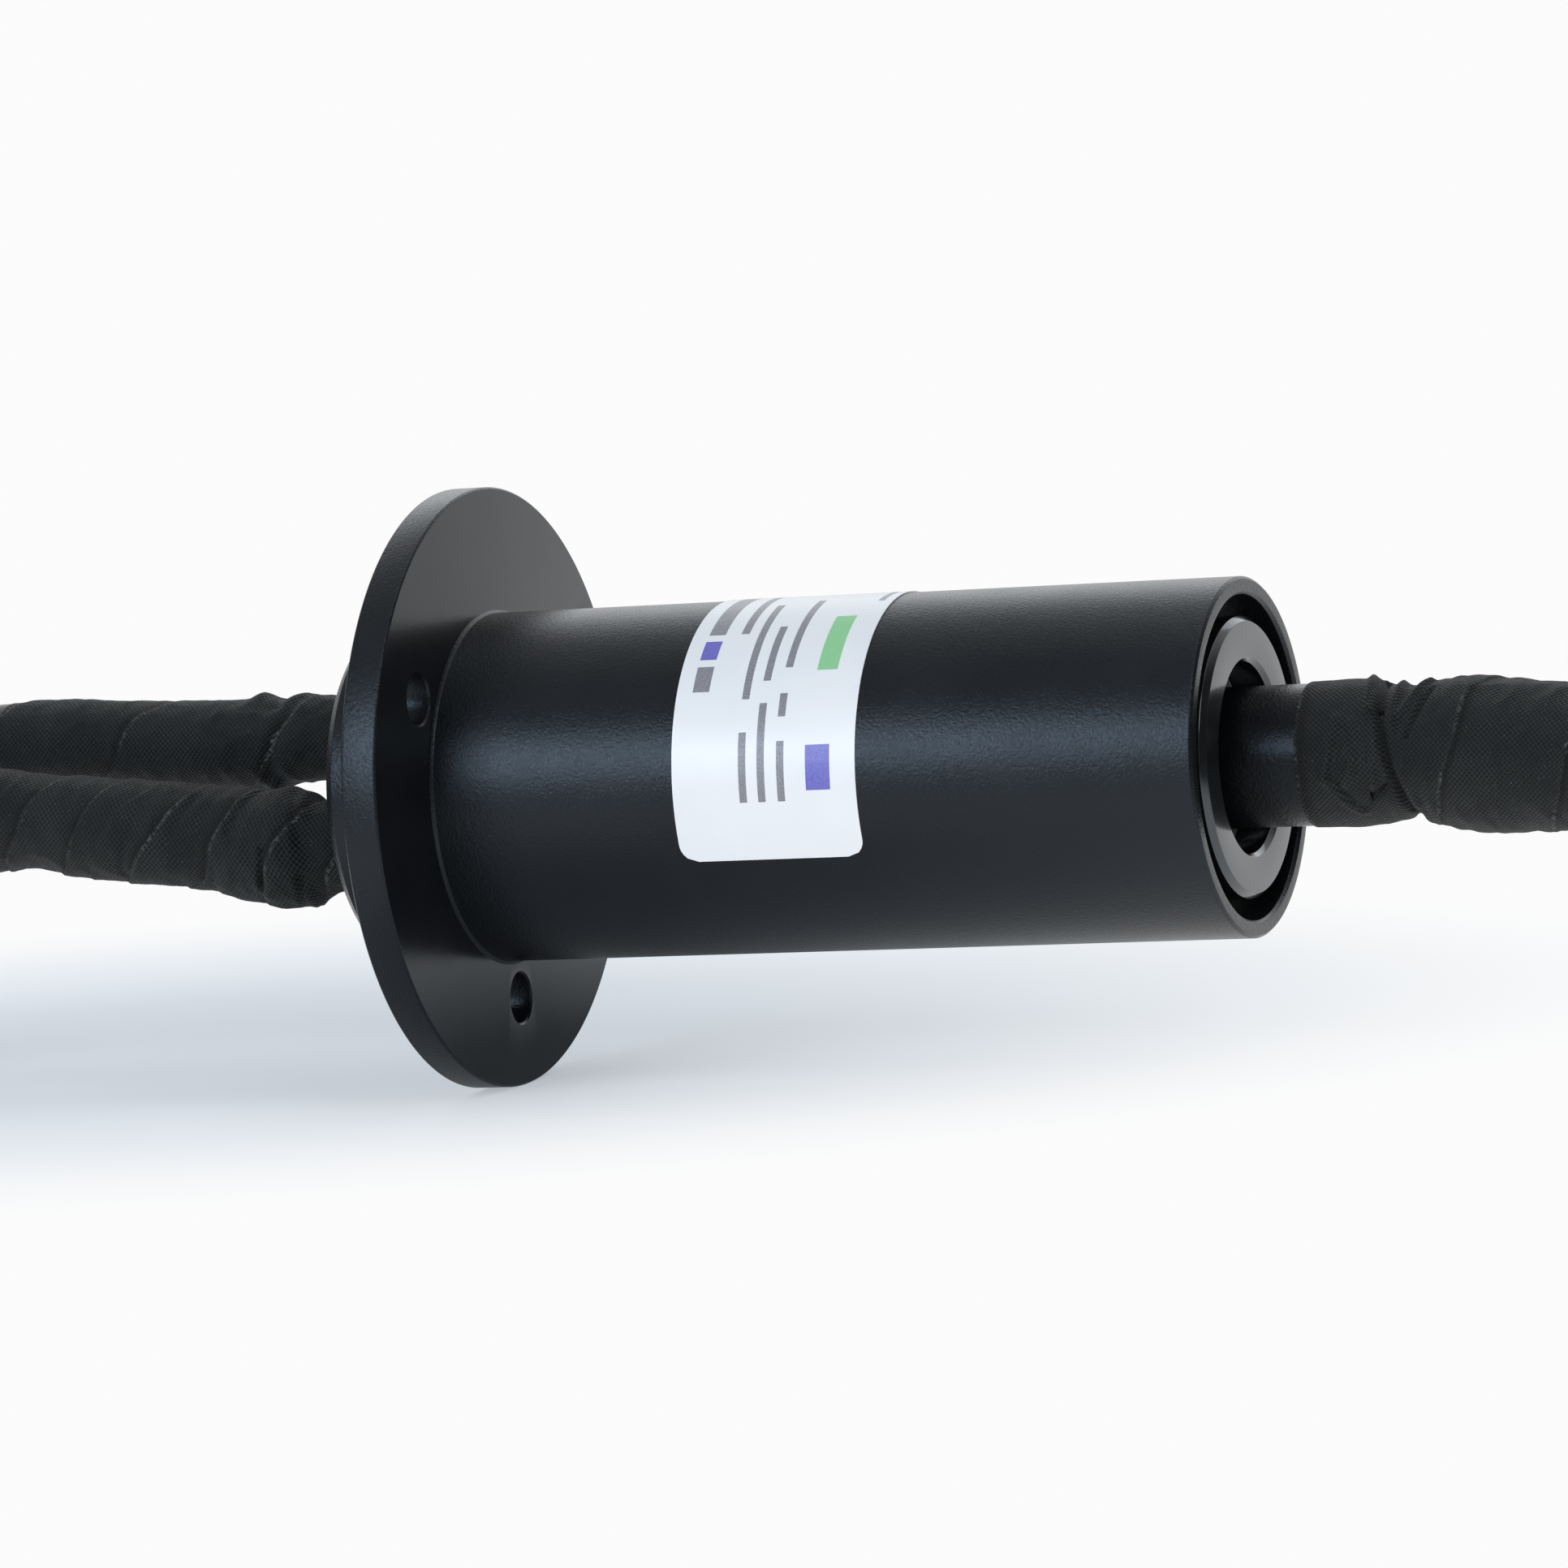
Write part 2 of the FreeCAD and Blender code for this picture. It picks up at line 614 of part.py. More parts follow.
def make_ring_core():
    """Insulating core: a rear journal, a collar, walls that part the rings, and a wire bore."""
    bearing_end = REAR_BEARING + " + rear_bearing_width"
    journal_end = REAR_BEARING + " - plate_lip / 2"
    bore = "core_dia / 2 - core_wall"
    bore_start = COLLAR_FRONT + " + core_blind_depth"
    body = turned_body("ring_core", [
        (journal_end, "0"),
        (journal_end, "rear_bearing_bore / 2 - fit_gap"),
        (bearing_end, "rear_bearing_bore / 2 - fit_gap"),
        (bearing_end, "core_shoulder_dia / 2"),
        ("core_collar_x", "core_shoulder_dia / 2"),
        ("core_collar_x", RING_RADIUS),
        (COLLAR_FRONT, RING_RADIUS),
        (COLLAR_FRONT, "core_dia / 2"),
        (HUB_SEAT, "core_dia / 2"),
        (HUB_SEAT, bore),
        (bore_start, bore),
        (bore_start, "0"),
    ])
    wall_rear = "%s + %s + fit_gap" % (ring_place(0), RING_HALF)
    wall_front = "%s - %s - fit_gap" % (ring_place(1), RING_HALF)
    root = "core_dia / 2 - core_wall / 2"
    top = RING_RADIUS + " + barrier_height"
    wall = turn(body, [(wall_rear, root), (wall_rear, top), (wall_front, top), (wall_front, root)])
    walls = body.newObject("PartDesign::LinearPattern", "ring_walls")
    walls.Originals = [wall]
    walls.Direction = (origin_feature(body, "X_Axis"), [""])
    span = "(%s) - (%s)" % (ring_place(int(value("contact_ring_count")) - 1), ring_place(1))
    for name, number in (("Length", span), ("Occurrences", "contact_ring_count - 1")):
        setattr(walls, name, type(getattr(walls, name))(value(number)))
        walls.setExpression(name, bound(number))
    body.Tip = walls


def make_rotor_end_cap():
    """Hub in the front bearing with the disc that closes the mouth; the tube stands in it."""
    disc_rear = "body_length - disc_thick"
    disc_radius = MOUTH_RADIUS + " - disc_gap"
    recess = "body_length - disc_recess_depth"
    recess_radius = "tube_dia / 2 + disc_recess_gap"
    turned_body("rotor_end_cap", [
        (HUB_REAR, "core_dia / 2 + fit_gap"),
        (HUB_REAR, "front_bearing_bore / 2 - fit_gap"),
        (BEARING_FRONT, "front_bearing_bore / 2 - fit_gap"),
        (BEARING_FRONT, "front_bearing_bore / 2 + hub_shoulder"),
        (disc_rear, "front_bearing_bore / 2 + hub_shoulder"),
        (disc_rear, disc_radius),
        ("body_length - disc_chamfer", disc_radius),
        ("body_length", disc_radius + " - disc_chamfer"),
        ("body_length", recess_radius + " + disc_recess_edge"),
        ("body_length - disc_recess_edge", recess_radius),
        (recess, recess_radius),
        (recess, "tube_dia / 2 + fit_gap"),
        (TUBE_SEAT, "tube_dia / 2 + fit_gap"),
        (TUBE_SEAT, "web_hole_dia / 2"),
        (HUB_SEAT, "web_hole_dia / 2"),
        (HUB_SEAT, "core_dia / 2 + fit_gap"),
    ])


def make_outlet_tube():
    """The tube that the rotor's lead comes out of, and the tape that is wound over its end."""
    bore = "tube_dia / 2 - tube_wall"
    turned_body("outlet_tube", [
        (TUBE_SEAT, bore),
        (TUBE_SEAT, "tube_dia / 2"),
        (TUBE_END + " - tube_edge", "tube_dia / 2"),
        (TUBE_END, "tube_dia / 2 - tube_edge"),
        (TUBE_END, bore),
    ])
    turned_body("outlet_tape", [
        ("body_length + tape_start", "tube_dia / 2 + fit_gap"),
        ("body_length + tape_start", "tube_dia / 2 + fit_gap + tape_thick"),
        (TUBE_END, "tube_dia / 2 + fit_gap + tape_thick"),
        (TUBE_END, "tube_dia / 2 + fit_gap"),
    ])


def make_label():
    """Thin plate of foil bent round the barrel, with rounded corners."""
    body = new_body("label")
    inner = "body_dia / 2 + fit_gap"
    turn(body, [
        ("label_start", inner),
        ("label_start + label_width", inner),
        ("label_start + label_width", inner + " + label_thick"),
        ("label_start", inner + " + label_thick"),
    ], angle="label_high_angle + label_low_angle")
    dress(body, "Fillet", "label_corners",
          lambda edge: abs(edge.Length - value("label_thick")) < EDGE_TOLERANCE,
          "Radius", "label_corner")
    body.Placement = FreeCAD.Placement(
        FreeCAD.Vector(), FreeCAD.Rotation(FreeCAD.Vector(1, 0, 0), value("90 - label_high_angle")))
    body.setExpression("Placement.Rotation.Angle", bound("90 - label_high_angle"))


def rounded_path(points):
    """Straight runs joined by tangent arcs, each as large as its two runs allow."""
    edges = []
    radii = []
    start = points[0]
    for before, corner, after in zip(points, points[1:], points[2:]):
        into = (corner - before).normalize()
        out = (after - corner).normalize()
        half_turn = into.getAngle(out) / 2
        setback = RUN_SHARE * min((corner - before).Length, (after - corner).Length)
        radius = setback / math.tan(half_turn)
        begin = corner - into * setback
        end = corner + out * setback
        toward_centre = (out - into).normalize()
        middle = corner + toward_centre * (radius / math.cos(half_turn) - radius)
        edges.append(Part.LineSegment(start, begin).toShape())
        edges.append(Part.Arc(begin, middle, end).toShape())
        radii.append(radius)
        start = end
    edges.append(Part.LineSegment(start, points[-1]).toShape())
    return Part.Wire(edges), radii


def make_lead(label, exit_point, along, route, dia):
    """A lead as a plain tube on its route, and the bundle of wires that its end opens into."""
    points = [exit_point, exit_point + along * value("lead_straight")]
    points += [FreeCAD.Vector(*point) for point in route]
    path, radii = rounded_path(points)
    circle = Part.Circle(points[0], along, value(dia) / 2)
    tube = path.makePipeShell([Part.Wire(circle.toShape())], True, True)
    section = math.pi * (value(dia) / 2) ** 2
    print("%s: length %.1f, radii %s, volume over section times length %.4f" % (
        label, path.Length, " ".join("%.0f" % radius for radius in radii),
        tube.Volume / (section * path.Length)))
    add_shape(label, tube)
    direction = (points[-1] - points[-2]).normalize()
    add_shape(label + "_tails", wire_bundle(points[-1], direction, value(dia) / 2))


def wire_bundle(place, direction, radius):
    """The wires of a lead's end, packed side by side into one lobed bar."""
    outer = radius * value("tail_share")
    inner = outer - value("tail_lobe_depth")
    side = direction.cross(FreeCAD.Vector(0, 0, 1)).normalize()
    up = side.cross(direction)

    def point(share, reach):
        angle = 2 * math.pi * share / TAIL_LOBES
        return place + side * (reach * math.cos(angle)) + up * (reach * math.sin(angle))

    arcs = [Part.Arc(point(lobe - 0.5, inner), point(lobe, outer), point(lobe + 0.5, inner)).toShape()
            for lobe in range(TAIL_LOBES)]
    return Part.Face(Part.Wire(arcs)).extrude(direction * value("tail_length"))


def make_leads():
    """The rotor's lead and the two leads of the housing."""
    backward = FreeCAD.Vector(-1, 0, 0)
    across = value("lead_circle_dia / 2 * cos(lead_angle)")
    up = value("lead_circle_dia / 2 * sin(lead_angle)")
    inside = value(CAP_SEAT)
    tube_end = FreeCAD.Vector(value(TUBE_END), 0, 0)
    near_exit = FreeCAD.Vector(inside, -across, -up)
    far_exit = FreeCAD.Vector(inside, across, up)
    make_lead("rotor_lead", tube_end, FreeCAD.Vector(1, 0, 0), ROTOR_ROUTE, "rotor_lead_dia")
    make_lead("near_lead", near_exit, backward, NEAR_ROUTE, "near_lead_dia")
    make_lead("far_lead", far_exit, backward, FAR_ROUTE, "far_lead_dia")


def check_model():
    """Stop before anything is written if an object failed or a part has no sound shape."""
    doc.recompute()
    for item in doc.Objects:
        if "Invalid" in item.State or "Error" in item.State:
            raise ValueError("%s is %s" % (item.Label, item.State))
    for part in parts:
        if part.Shape.isNull() or not part.Shape.isValid():
            raise ValueError(part.Label + " has no valid shape")


make_housing()
make_rear_cap()
make_rear_cap_screws()
make_rear_bearing_plate()
make_front_plate()
make_bearing("rear_bearing", REAR_BEARING, "rear_bearing_width", "rear_bearing_bore / 2",
             "rear_bearing_dia / 2", "rear_ball_dia", "rear_ball_count")
make_bearing("front_bearing", BEARING_REAR, "front_bearing_width", "front_bearing_bore / 2",
             FRONT_BEARING_RADIUS, "front_ball_dia", "front_ball_count")
make_retaining_ring()
make_boards()
make_brush_wires()
make_label()
make_ring_core()
make_contact_rings()
make_rotor_end_cap()
make_outlet_tube()
make_leads()
check_model()

os.makedirs("parts", exist_ok=True)
for part in parts:
    part.Shape.exportStep("parts/%s.step" % part.Label)
print("%d parts written" % len(parts))
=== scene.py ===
import json
import math
import random
from bisect import bisect_right
from functools import cache, partial, reduce

import bmesh
import bpy
from mathutils import Matrix, Vector, noise


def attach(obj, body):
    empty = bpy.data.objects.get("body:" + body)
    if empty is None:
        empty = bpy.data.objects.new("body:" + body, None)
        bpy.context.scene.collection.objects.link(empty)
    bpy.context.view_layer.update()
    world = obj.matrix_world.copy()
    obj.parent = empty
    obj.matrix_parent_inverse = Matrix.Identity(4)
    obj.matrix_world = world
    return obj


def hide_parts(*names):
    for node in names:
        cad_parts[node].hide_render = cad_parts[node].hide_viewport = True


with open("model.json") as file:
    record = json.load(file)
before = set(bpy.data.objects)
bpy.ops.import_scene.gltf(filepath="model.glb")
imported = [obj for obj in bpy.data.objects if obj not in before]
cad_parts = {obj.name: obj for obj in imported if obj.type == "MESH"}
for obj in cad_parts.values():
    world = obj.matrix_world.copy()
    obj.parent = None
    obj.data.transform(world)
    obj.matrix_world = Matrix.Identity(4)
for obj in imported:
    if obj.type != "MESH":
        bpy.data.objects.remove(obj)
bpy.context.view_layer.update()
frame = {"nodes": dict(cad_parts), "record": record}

# Sizes are in millimetres unless they carry MM, which makes them metres. X runs along the spin
# axis, Z is up, and -Y is the camera's side, which is called the front here.
MM = 0.001

# The camera that was fitted to the photo's outlines: metres, degrees, and mm for the lens.
CAMERA_PLACE = (0.32710, -0.71294, 0.06798)
CAMERA_LOOK = (-0.38184, 0.91995, -0.08881)
CAMERA_ROLL = -4.371
CAMERA_LENS = 174.88
CAMERA_SENSOR = 36.0
FLOOR_HEIGHT = -31.0 * MM

# The metal, with the source's sizes. An outline is a closed list of (x, radius).
BARREL_RADIUS = 18.0
HOUSING_OUTLINE = [
    (-12.2, 16.0), (-12.2, 17.0), (-11.2, 18.0), (-3.8, 18.0), (-3.8, 30.8), (-3.6, 31.0),
    (-0.2, 31.0), (0.0, 30.8), (0.0, 18.3), (0.3, 18.0), (81.2, 18.0), (81.5, 17.7),
    (81.5, 16.5), (81.2, 16.2), (76.22, 16.2), (76.22, 17.0), (75.0, 17.0), (75.0, 16.02),
    (68.0, 16.02), (68.0, 14.6), (3.0, 14.6), (3.0, 15.0), (-9.7, 15.0), (-9.7, 16.0),
]
FLANGE_FACES = (-3.8, 0.0)
BOLT_CIRCLE_RADIUS = 22
BOLT_HOLE_RADIUS = 2.6
BOLT_HOLE_CHAMFER = 0.2
BOLT_TURNS = (-90, 30, 150)
END_CAP_OUTLINE = [
    (66.5, 7.02), (66.5, 9.98), (75.0, 9.98), (75.0, 11.6), (76.6, 11.6), (76.6, 14.1),
    (80.9, 14.1), (81.5, 13.5), (81.5, 9.95), (81.05, 9.5), (77.5, 9.5), (77.5, 7.07),
    (71.5, 7.07), (71.5, 5.4), (70.5, 5.4), (70.5, 7.02),
]
TUBE_END = 95.5
TUBE_OUTLINE = [(71.5, 5.9), (71.5, 7.05), (95.3, 7.05), (TUBE_END, 6.85), (TUBE_END, 5.9)]

# The rear cap's screws: from the socket's floor over the head to the tip, as x, radius, and
# whether it is six-sided there.
SCREW_CIRCLE_RADIUS = 13.4
SCREW_TURNS = (88, 178, 268, 358)
SCREW_OUTLINE = [
    (-11.1, 0.0, True), (-11.1, 0.62, True), (-12.12, 0.62, True), (-12.16, 0.68, True),
    (-12.16, 1.66, False), (-12.08, 1.74, False), (-11.36, 1.0, False), (-2.3, 1.0, False),
    (-2.2, 0.9, False), (-2.2, 0.0, False),
]

# The leads' lines, with the source's control points. Each begins where the lead leaves the metal.
EXIT_SIDE = 5.55855
EXIT_UP = 5.18319
ROTOR_ROUTE = [
    (TUBE_END, 0.0, 0.0),
    (109.5, 0.0, 0.0),
    (127.0, -1.5, -3.0),
    (149.0, -4.6, -8.9),
    (173.0, -7.6, -17.2),
    (197.0, -8.8, -22.6),
    (221.0, -7.4, -23.4),
    (246.0, -3.6, -23.5),
    (270.0, -2.2, -23.5),
    (293.0, -3.4, -23.5),
    (314.0, -6.6, -23.5),
]
NEAR_ROUTE = [
    (-9.7, -EXIT_SIDE, -EXIT_UP),
    (-23.7, -EXIT_SIDE, -EXIT_UP),
    (-41.0, -5.9, -2.3),
    (-61.0, -5.2, 0.0),
    (-83.0, -4.4, -4.2),
    (-106.0, -5.6, -14.6),
    (-129.0, -8.6, -22.4),
    (-152.0, -9.8, -25.3),
    (-176.0, -7.6, -25.5),
    (-201.0, -6.4, -25.5),
    (-225.6, -8.3, -25.5),
]
FAR_ROUTE = [
    (-9.7, EXIT_SIDE, EXIT_UP),
    (-23.7, EXIT_SIDE, EXIT_UP),
    (-41.0, 6.1, 5.7),
    (-60.0, 7.0, 6.8),
    (-79.0, 8.6, 3.9),
    (-98.0, 10.6, -3.4),
    (-117.0, 13.2, -13.0),
    (-136.0, 15.4, -21.4),
    (-156.0, 16.4, -26.0),
    (-178.0, 14.6, -26.6),
    (-201.0, 13.2, -26.6),
    (-223.0, 14.2, -26.6),
]

TAPE_STEP = 0.22 * MM * 1
ROTOR_SEED = 23.0
NO_LAPS = (None, None)
# How far a lap's edge strays along the lead, and over how long it steps down.
LAP_WANDER = 1.5 * MM
LAP_EDGE = 0.3 * MM
# How far the sleeve lies under the tape, as a share of the lead's diameter.
SLEEVE_COVER = 0.075
# How deep the tape's wrinkles are, by the place along the lead.
WRINKLE_DEPTHS = [(0, 0.05), (6, 0.22), (18, 0.24), (30, 0.12), (90, 0.07)]
# The diameter of the tape on the tube's end, by x.
TUBE_TAPE_PROFILE = [(88.3, 14.45), (89.6, 14.46), (92.6, 14.62), (95.5, 14.2), (96.2, 13.0)]
# The folds where the tube ends, as folds() takes them; places count from the tube's end.
TUBE_FOLDS = [
    ((0.4, 100), (1.2, 42), 0.34, -0.75),
    ((1.2, 42), (3.6, -60), 0.38, -0.80),
    ((-0.8, 92), (0.3, 40), 0.50, 0.55),
    ((0.3, 40), (1.9, -10), 0.50, 0.35),
    ((2.3, 90), (2.5, 26), 0.50, 0.55),
    ((2.7, 20), (4.6, -46), 0.50, 0.35),
    ((5.2, 84), (3.4, 40), 0.45, 0.50),
    ((5.9, 64), (4.2, 18), 0.38, -0.60),
    ((-2.5, 20), (-3.5, -12), 0.38, -0.62),
    ((-3.5, -12), (-1.8, -36), 0.38, -0.58),
    ((-2.2, 26), (-0.4, 4), 0.38, -0.52),
    ((-3.5, 14), (-4.4, -14), 0.50, 0.36),
    ((-1.2, 2), (-2.5, -20), 0.50, 0.46),
    ((-2.9, 34), (-4.3, 14), 0.55, 0.30),
    ((-1.3, 30), (-1.9, 14), 0.50, 0.34),
    ((-2.6, -34), (-1.0, -48), 0.50, 0.30),
    ((-4.4, -14), (-2.9, -30), 0.50, 0.30),
    ((-0.6, -8), (-0.2, -32), 0.36, -0.55),
    ((-1.2, -42), (1.8, -24), 0.38, -0.58),
    ((0.5, -20), (0.9, 14), 0.45, 0.42),
    ((4.8, -50), (3.2, -92), 0.42, -0.50),
    ((2.4, 178), (3.2, 120), 0.45, -0.50),
    ((2.2, 182), (3.0, 262), 0.45, -0.50),
]
WIRE_COLORS = [
    (0.02, 0.02, 0.022), (0.55, 0.02, 0.02), (0.02, 0.09, 0.42), (0.72, 0.52, 0.03),
    (0.03, 0.30, 0.07), (0.75, 0.75, 0.73), (0.17, 0.06, 0.02), (0.28, 0.28, 0.29),
    (0.62, 0.20, 0.02), (0.20, 0.04, 0.34),
]

# The label's print, as plain bars: least density of the ink, its colour, and each bar's low and
# high along the barrel and around it, from the label's lower left corner.
PRINT = [
    (0.65, (0.12, 0.12, 0.15), [
        (1.7, 3.5, 17.5, 20.5),
        (1.7, 3.5, 25.0, 40.0),
        (5.2, 6.1, 25.0, 36.0),
        (7.2, 8.0, 6.0, 13.0),
        (7.2, 8.0, 16.5, 31.0),
        (9.2, 10.0, 6.0, 16.0),
        (9.2, 10.0, 18.5, 26.0),
        (11.3, 12.1, 6.0, 12.0),
        (11.3, 12.1, 14.5, 17.0),
        (11.3, 12.1, 20.0, 32.0),
        (18.0, 18.7, 31.0, 44.0),
    ]),
    (0.8, (0.08, 0.07, 0.50), [
        (1.7, 3.5, 21.4, 24.0),
        (14.4, 17.0, 7.0, 11.5),
    ]),
    (0.8, (0.22, 0.62, 0.25), [
        (14.8, 17.0, 19.5, 27.5),
    ]),
]

# Nearly all values of a noise, and of the sum of two, lie between these.
MOST_OF_NOISE = (0.3, 0.7)
MOST_OF_SUM = (0.7, 1.3)
COOL_GLOSS = (0.80, 0.91, 1.0, 1.0)
WHITE = (1.0, 1.0, 1.0, 1.0)
WHITE_LEVEL = 0.97


def make_camera():
    look = Vector(CAMERA_LOOK).normalized()
    side = look.cross(Vector((0, 0, 1))).normalized()
    up = side.cross(look)
    roll = math.radians(CAMERA_ROLL)
    right = side * math.cos(roll) + up * math.sin(roll)
    top = up * math.cos(roll) - side * math.sin(roll)
    data = bpy.data.cameras.new("camera")
    data.sensor_width = CAMERA_SENSOR
    data.lens = CAMERA_LENS
    data.clip_start = 0.05
    data.clip_end = 20.0
    camera = bpy.data.objects.new("camera", data)
    axes = Matrix((right, top, -look)).transposed().to_4x4()
    camera.matrix_world = Matrix.Translation(CAMERA_PLACE) @ axes
    bpy.context.scene.collection.objects.link(camera)
    bpy.context.scene.camera = camera


class Tree:
    """A node tree with short calls to build it. An input takes a value or another's output."""

    def __init__(self, tree):
        self.tree = tree
        self.tree.nodes.clear()

    def link(self, out, into):
        self.tree.links.new(out, into)

    def feed(self, socket, source):
        if hasattr(source, "is_output"):
            self.link(source, socket)
        else:
            socket.default_value = source

    def add(self, kind, inputs=(), **settings):
        """A new node."""
        item = self.tree.nodes.new("ShaderNode" + kind)
        for key, setting in settings.items():
            setattr(item, key, setting)
        for key, source in dict(inputs).items():
            self.feed(item.inputs[key], source)
        return item

    def node(self, kind, inputs=(), out=0, **settings):
        """One output of a new node."""
        return self.add(kind, inputs, **settings).outputs[out]

    def math(self, operation, first, second=0.0, third=0.0):
        return self.node("Math", {0: first, 1: second, 2: third}, operation=operation)

    def times(self, first, second):
        return self.math("MULTIPLY", first, second)

    def most(self, first, second):
        return self.math("MAXIMUM", first, second)

    def parts(self, vector):
        """The outputs x, y and z of a vector."""
        return self.add("SeparateXYZ", {0: vector}).outputs

    def ranged(self, source, low, high, to_low=0.0, to_high=1.0, kind="LINEAR"):
        """The source's range as another one, held at both ends."""
        return self.node("MapRange", {"Value": source, "From Min": low, "From Max": high,
                                      "To Min": to_low, "To Max": to_high},
                         interpolation_type=kind)

    def ramp(self, source, low, high, to_low=0.0, to_high=1.0):
        """The same with soft ends."""
        return self.ranged(source, low, high, to_low, to_high, "SMOOTHSTEP")


class Surface(Tree):
    """A material's tree, with its shader and the places on its piece."""

    def __init__(self, name):
        self.material = bpy.data.materials.new(name)
        self.material.use_nodes = True
        super().__init__(self.material.node_tree)
        self.shader = self.add("BsdfPrincipled")
        self.output = self.add("OutputMaterial", {0: self.shader.outputs[0]})
        self.coordinates = self.add("TexCoord").outputs
        self.spot = self.coordinates["Object"]

    def set(self, **inputs):
        """The shader's inputs, with _ for a space in their names."""
        for key, source in inputs.items():
            self.feed(self.shader.inputs[key.replace("_", " ")], source)

    def noise(self, size, detail=2.0, roughness=0.5, vector=None):
        """Noise with features of about this size in metres."""
        return self.node("TexNoise", {"Vector": self.spot if vector is None else vector,
                                      "Scale": 1.0 / size, "Detail": detail,
                                      "Roughness": roughness})

    def mix(self, factor, first, second):
        """A blend of two colours."""
        first, second = (color + (1.0,) if isinstance(color, tuple) else color
                         for color in (first, second))
        return self.node("Mix", {"Factor": factor, "A": first, "B": second}, out="Result",
                         data_type="RGBA")

    def bump(self, height, distance, strength=1.0):
        return self.node("Bump", {"Height": height, "Distance": distance, "Strength": strength})


def grained(name, color, roughness, grain_size, grain_depth, spread=0.05, tint=None,
            mottle=8 * MM, **shader):
    """A surface with fine grain, and a slight cloudy change of colour and of roughness."""
    look = Surface(name)
    cloud = look.noise(mottle, 3.0)
    grain = look.noise(grain_size, 3.0, 0.6)
    tint = tint or tuple(min(1.0, channel * 1.35) for channel in color)
    look.set(Base_Color=look.mix(look.ranged(cloud, *MOST_OF_NOISE), color, tint),
             Roughness=look.ranged(look.math("ADD", cloud, grain), *MOST_OF_SUM,
                                   max(0.02, roughness - spread), min(1.0, roughness + spread)),
             Normal=look.bump(grain, grain_depth), **shader)
    return look.material


def anodised(name):
    """Bead blasted and black anodised bar, smoother on the flange's and boss's turned faces."""
    look = Surface(name)
    cloud = look.noise(8 * MM, 3.0)
    grain = look.noise(0.30 * MM, 3.0, 0.65)
    facing = look.math("ABSOLUTE", look.parts(look.coordinates["Normal"])[0])
    turned = look.times(look.math("GREATER_THAN", facing, 0.95),
                        look.math("LESS_THAN", look.parts(look.spot)[0], 2 * MM))
    blasted = look.ranged(look.math("ADD", cloud, grain), *MOST_OF_SUM, 0.23, 0.31)
    look.set(Base_Color=look.mix(look.ranged(cloud, *MOST_OF_NOISE),
                                 (0.0042, 0.0049, 0.0064), (0.0056, 0.0064, 0.0082)),
             Roughness=look.math("MULTIPLY_ADD", turned, -0.08, blasted),
             Normal=look.bump(grain, 0.055 * MM, look.math("MULTIPLY_ADD", turned, -0.8, 1.0)),
             IOR=1.5, Specular_IOR_Level=0.40, Specular_Tint=COOL_GLOSS)
    return look.material


def turned_face(name, color, roughness, ring_pitch, ring_depth, **shader):
    """Turned metal: fine rings about the spin axis, with a light haze over them."""
    look = Surface(name)
    x, y, z = look.parts(look.spot)
    reach = look.math("SQRT", look.math("ADD", look.times(y, y), look.times(z, z)))
    rings = look.noise(ring_pitch, vector=look.node("CombineXYZ", {0: reach, 1: x}))
    haze = look.noise(3 * MM, 4.0, 0.6)
    look.set(Base_Color=look.mix(look.ranged(haze, 0.35, 0.7), color,
                                 tuple(channel * 1.25 for channel in color)),
             Roughness=look.ranged(haze, *MOST_OF_NOISE, roughness * 0.8, roughness * 1.25),
             Normal=look.bump(rings, ring_depth), **shader)
    return look.material


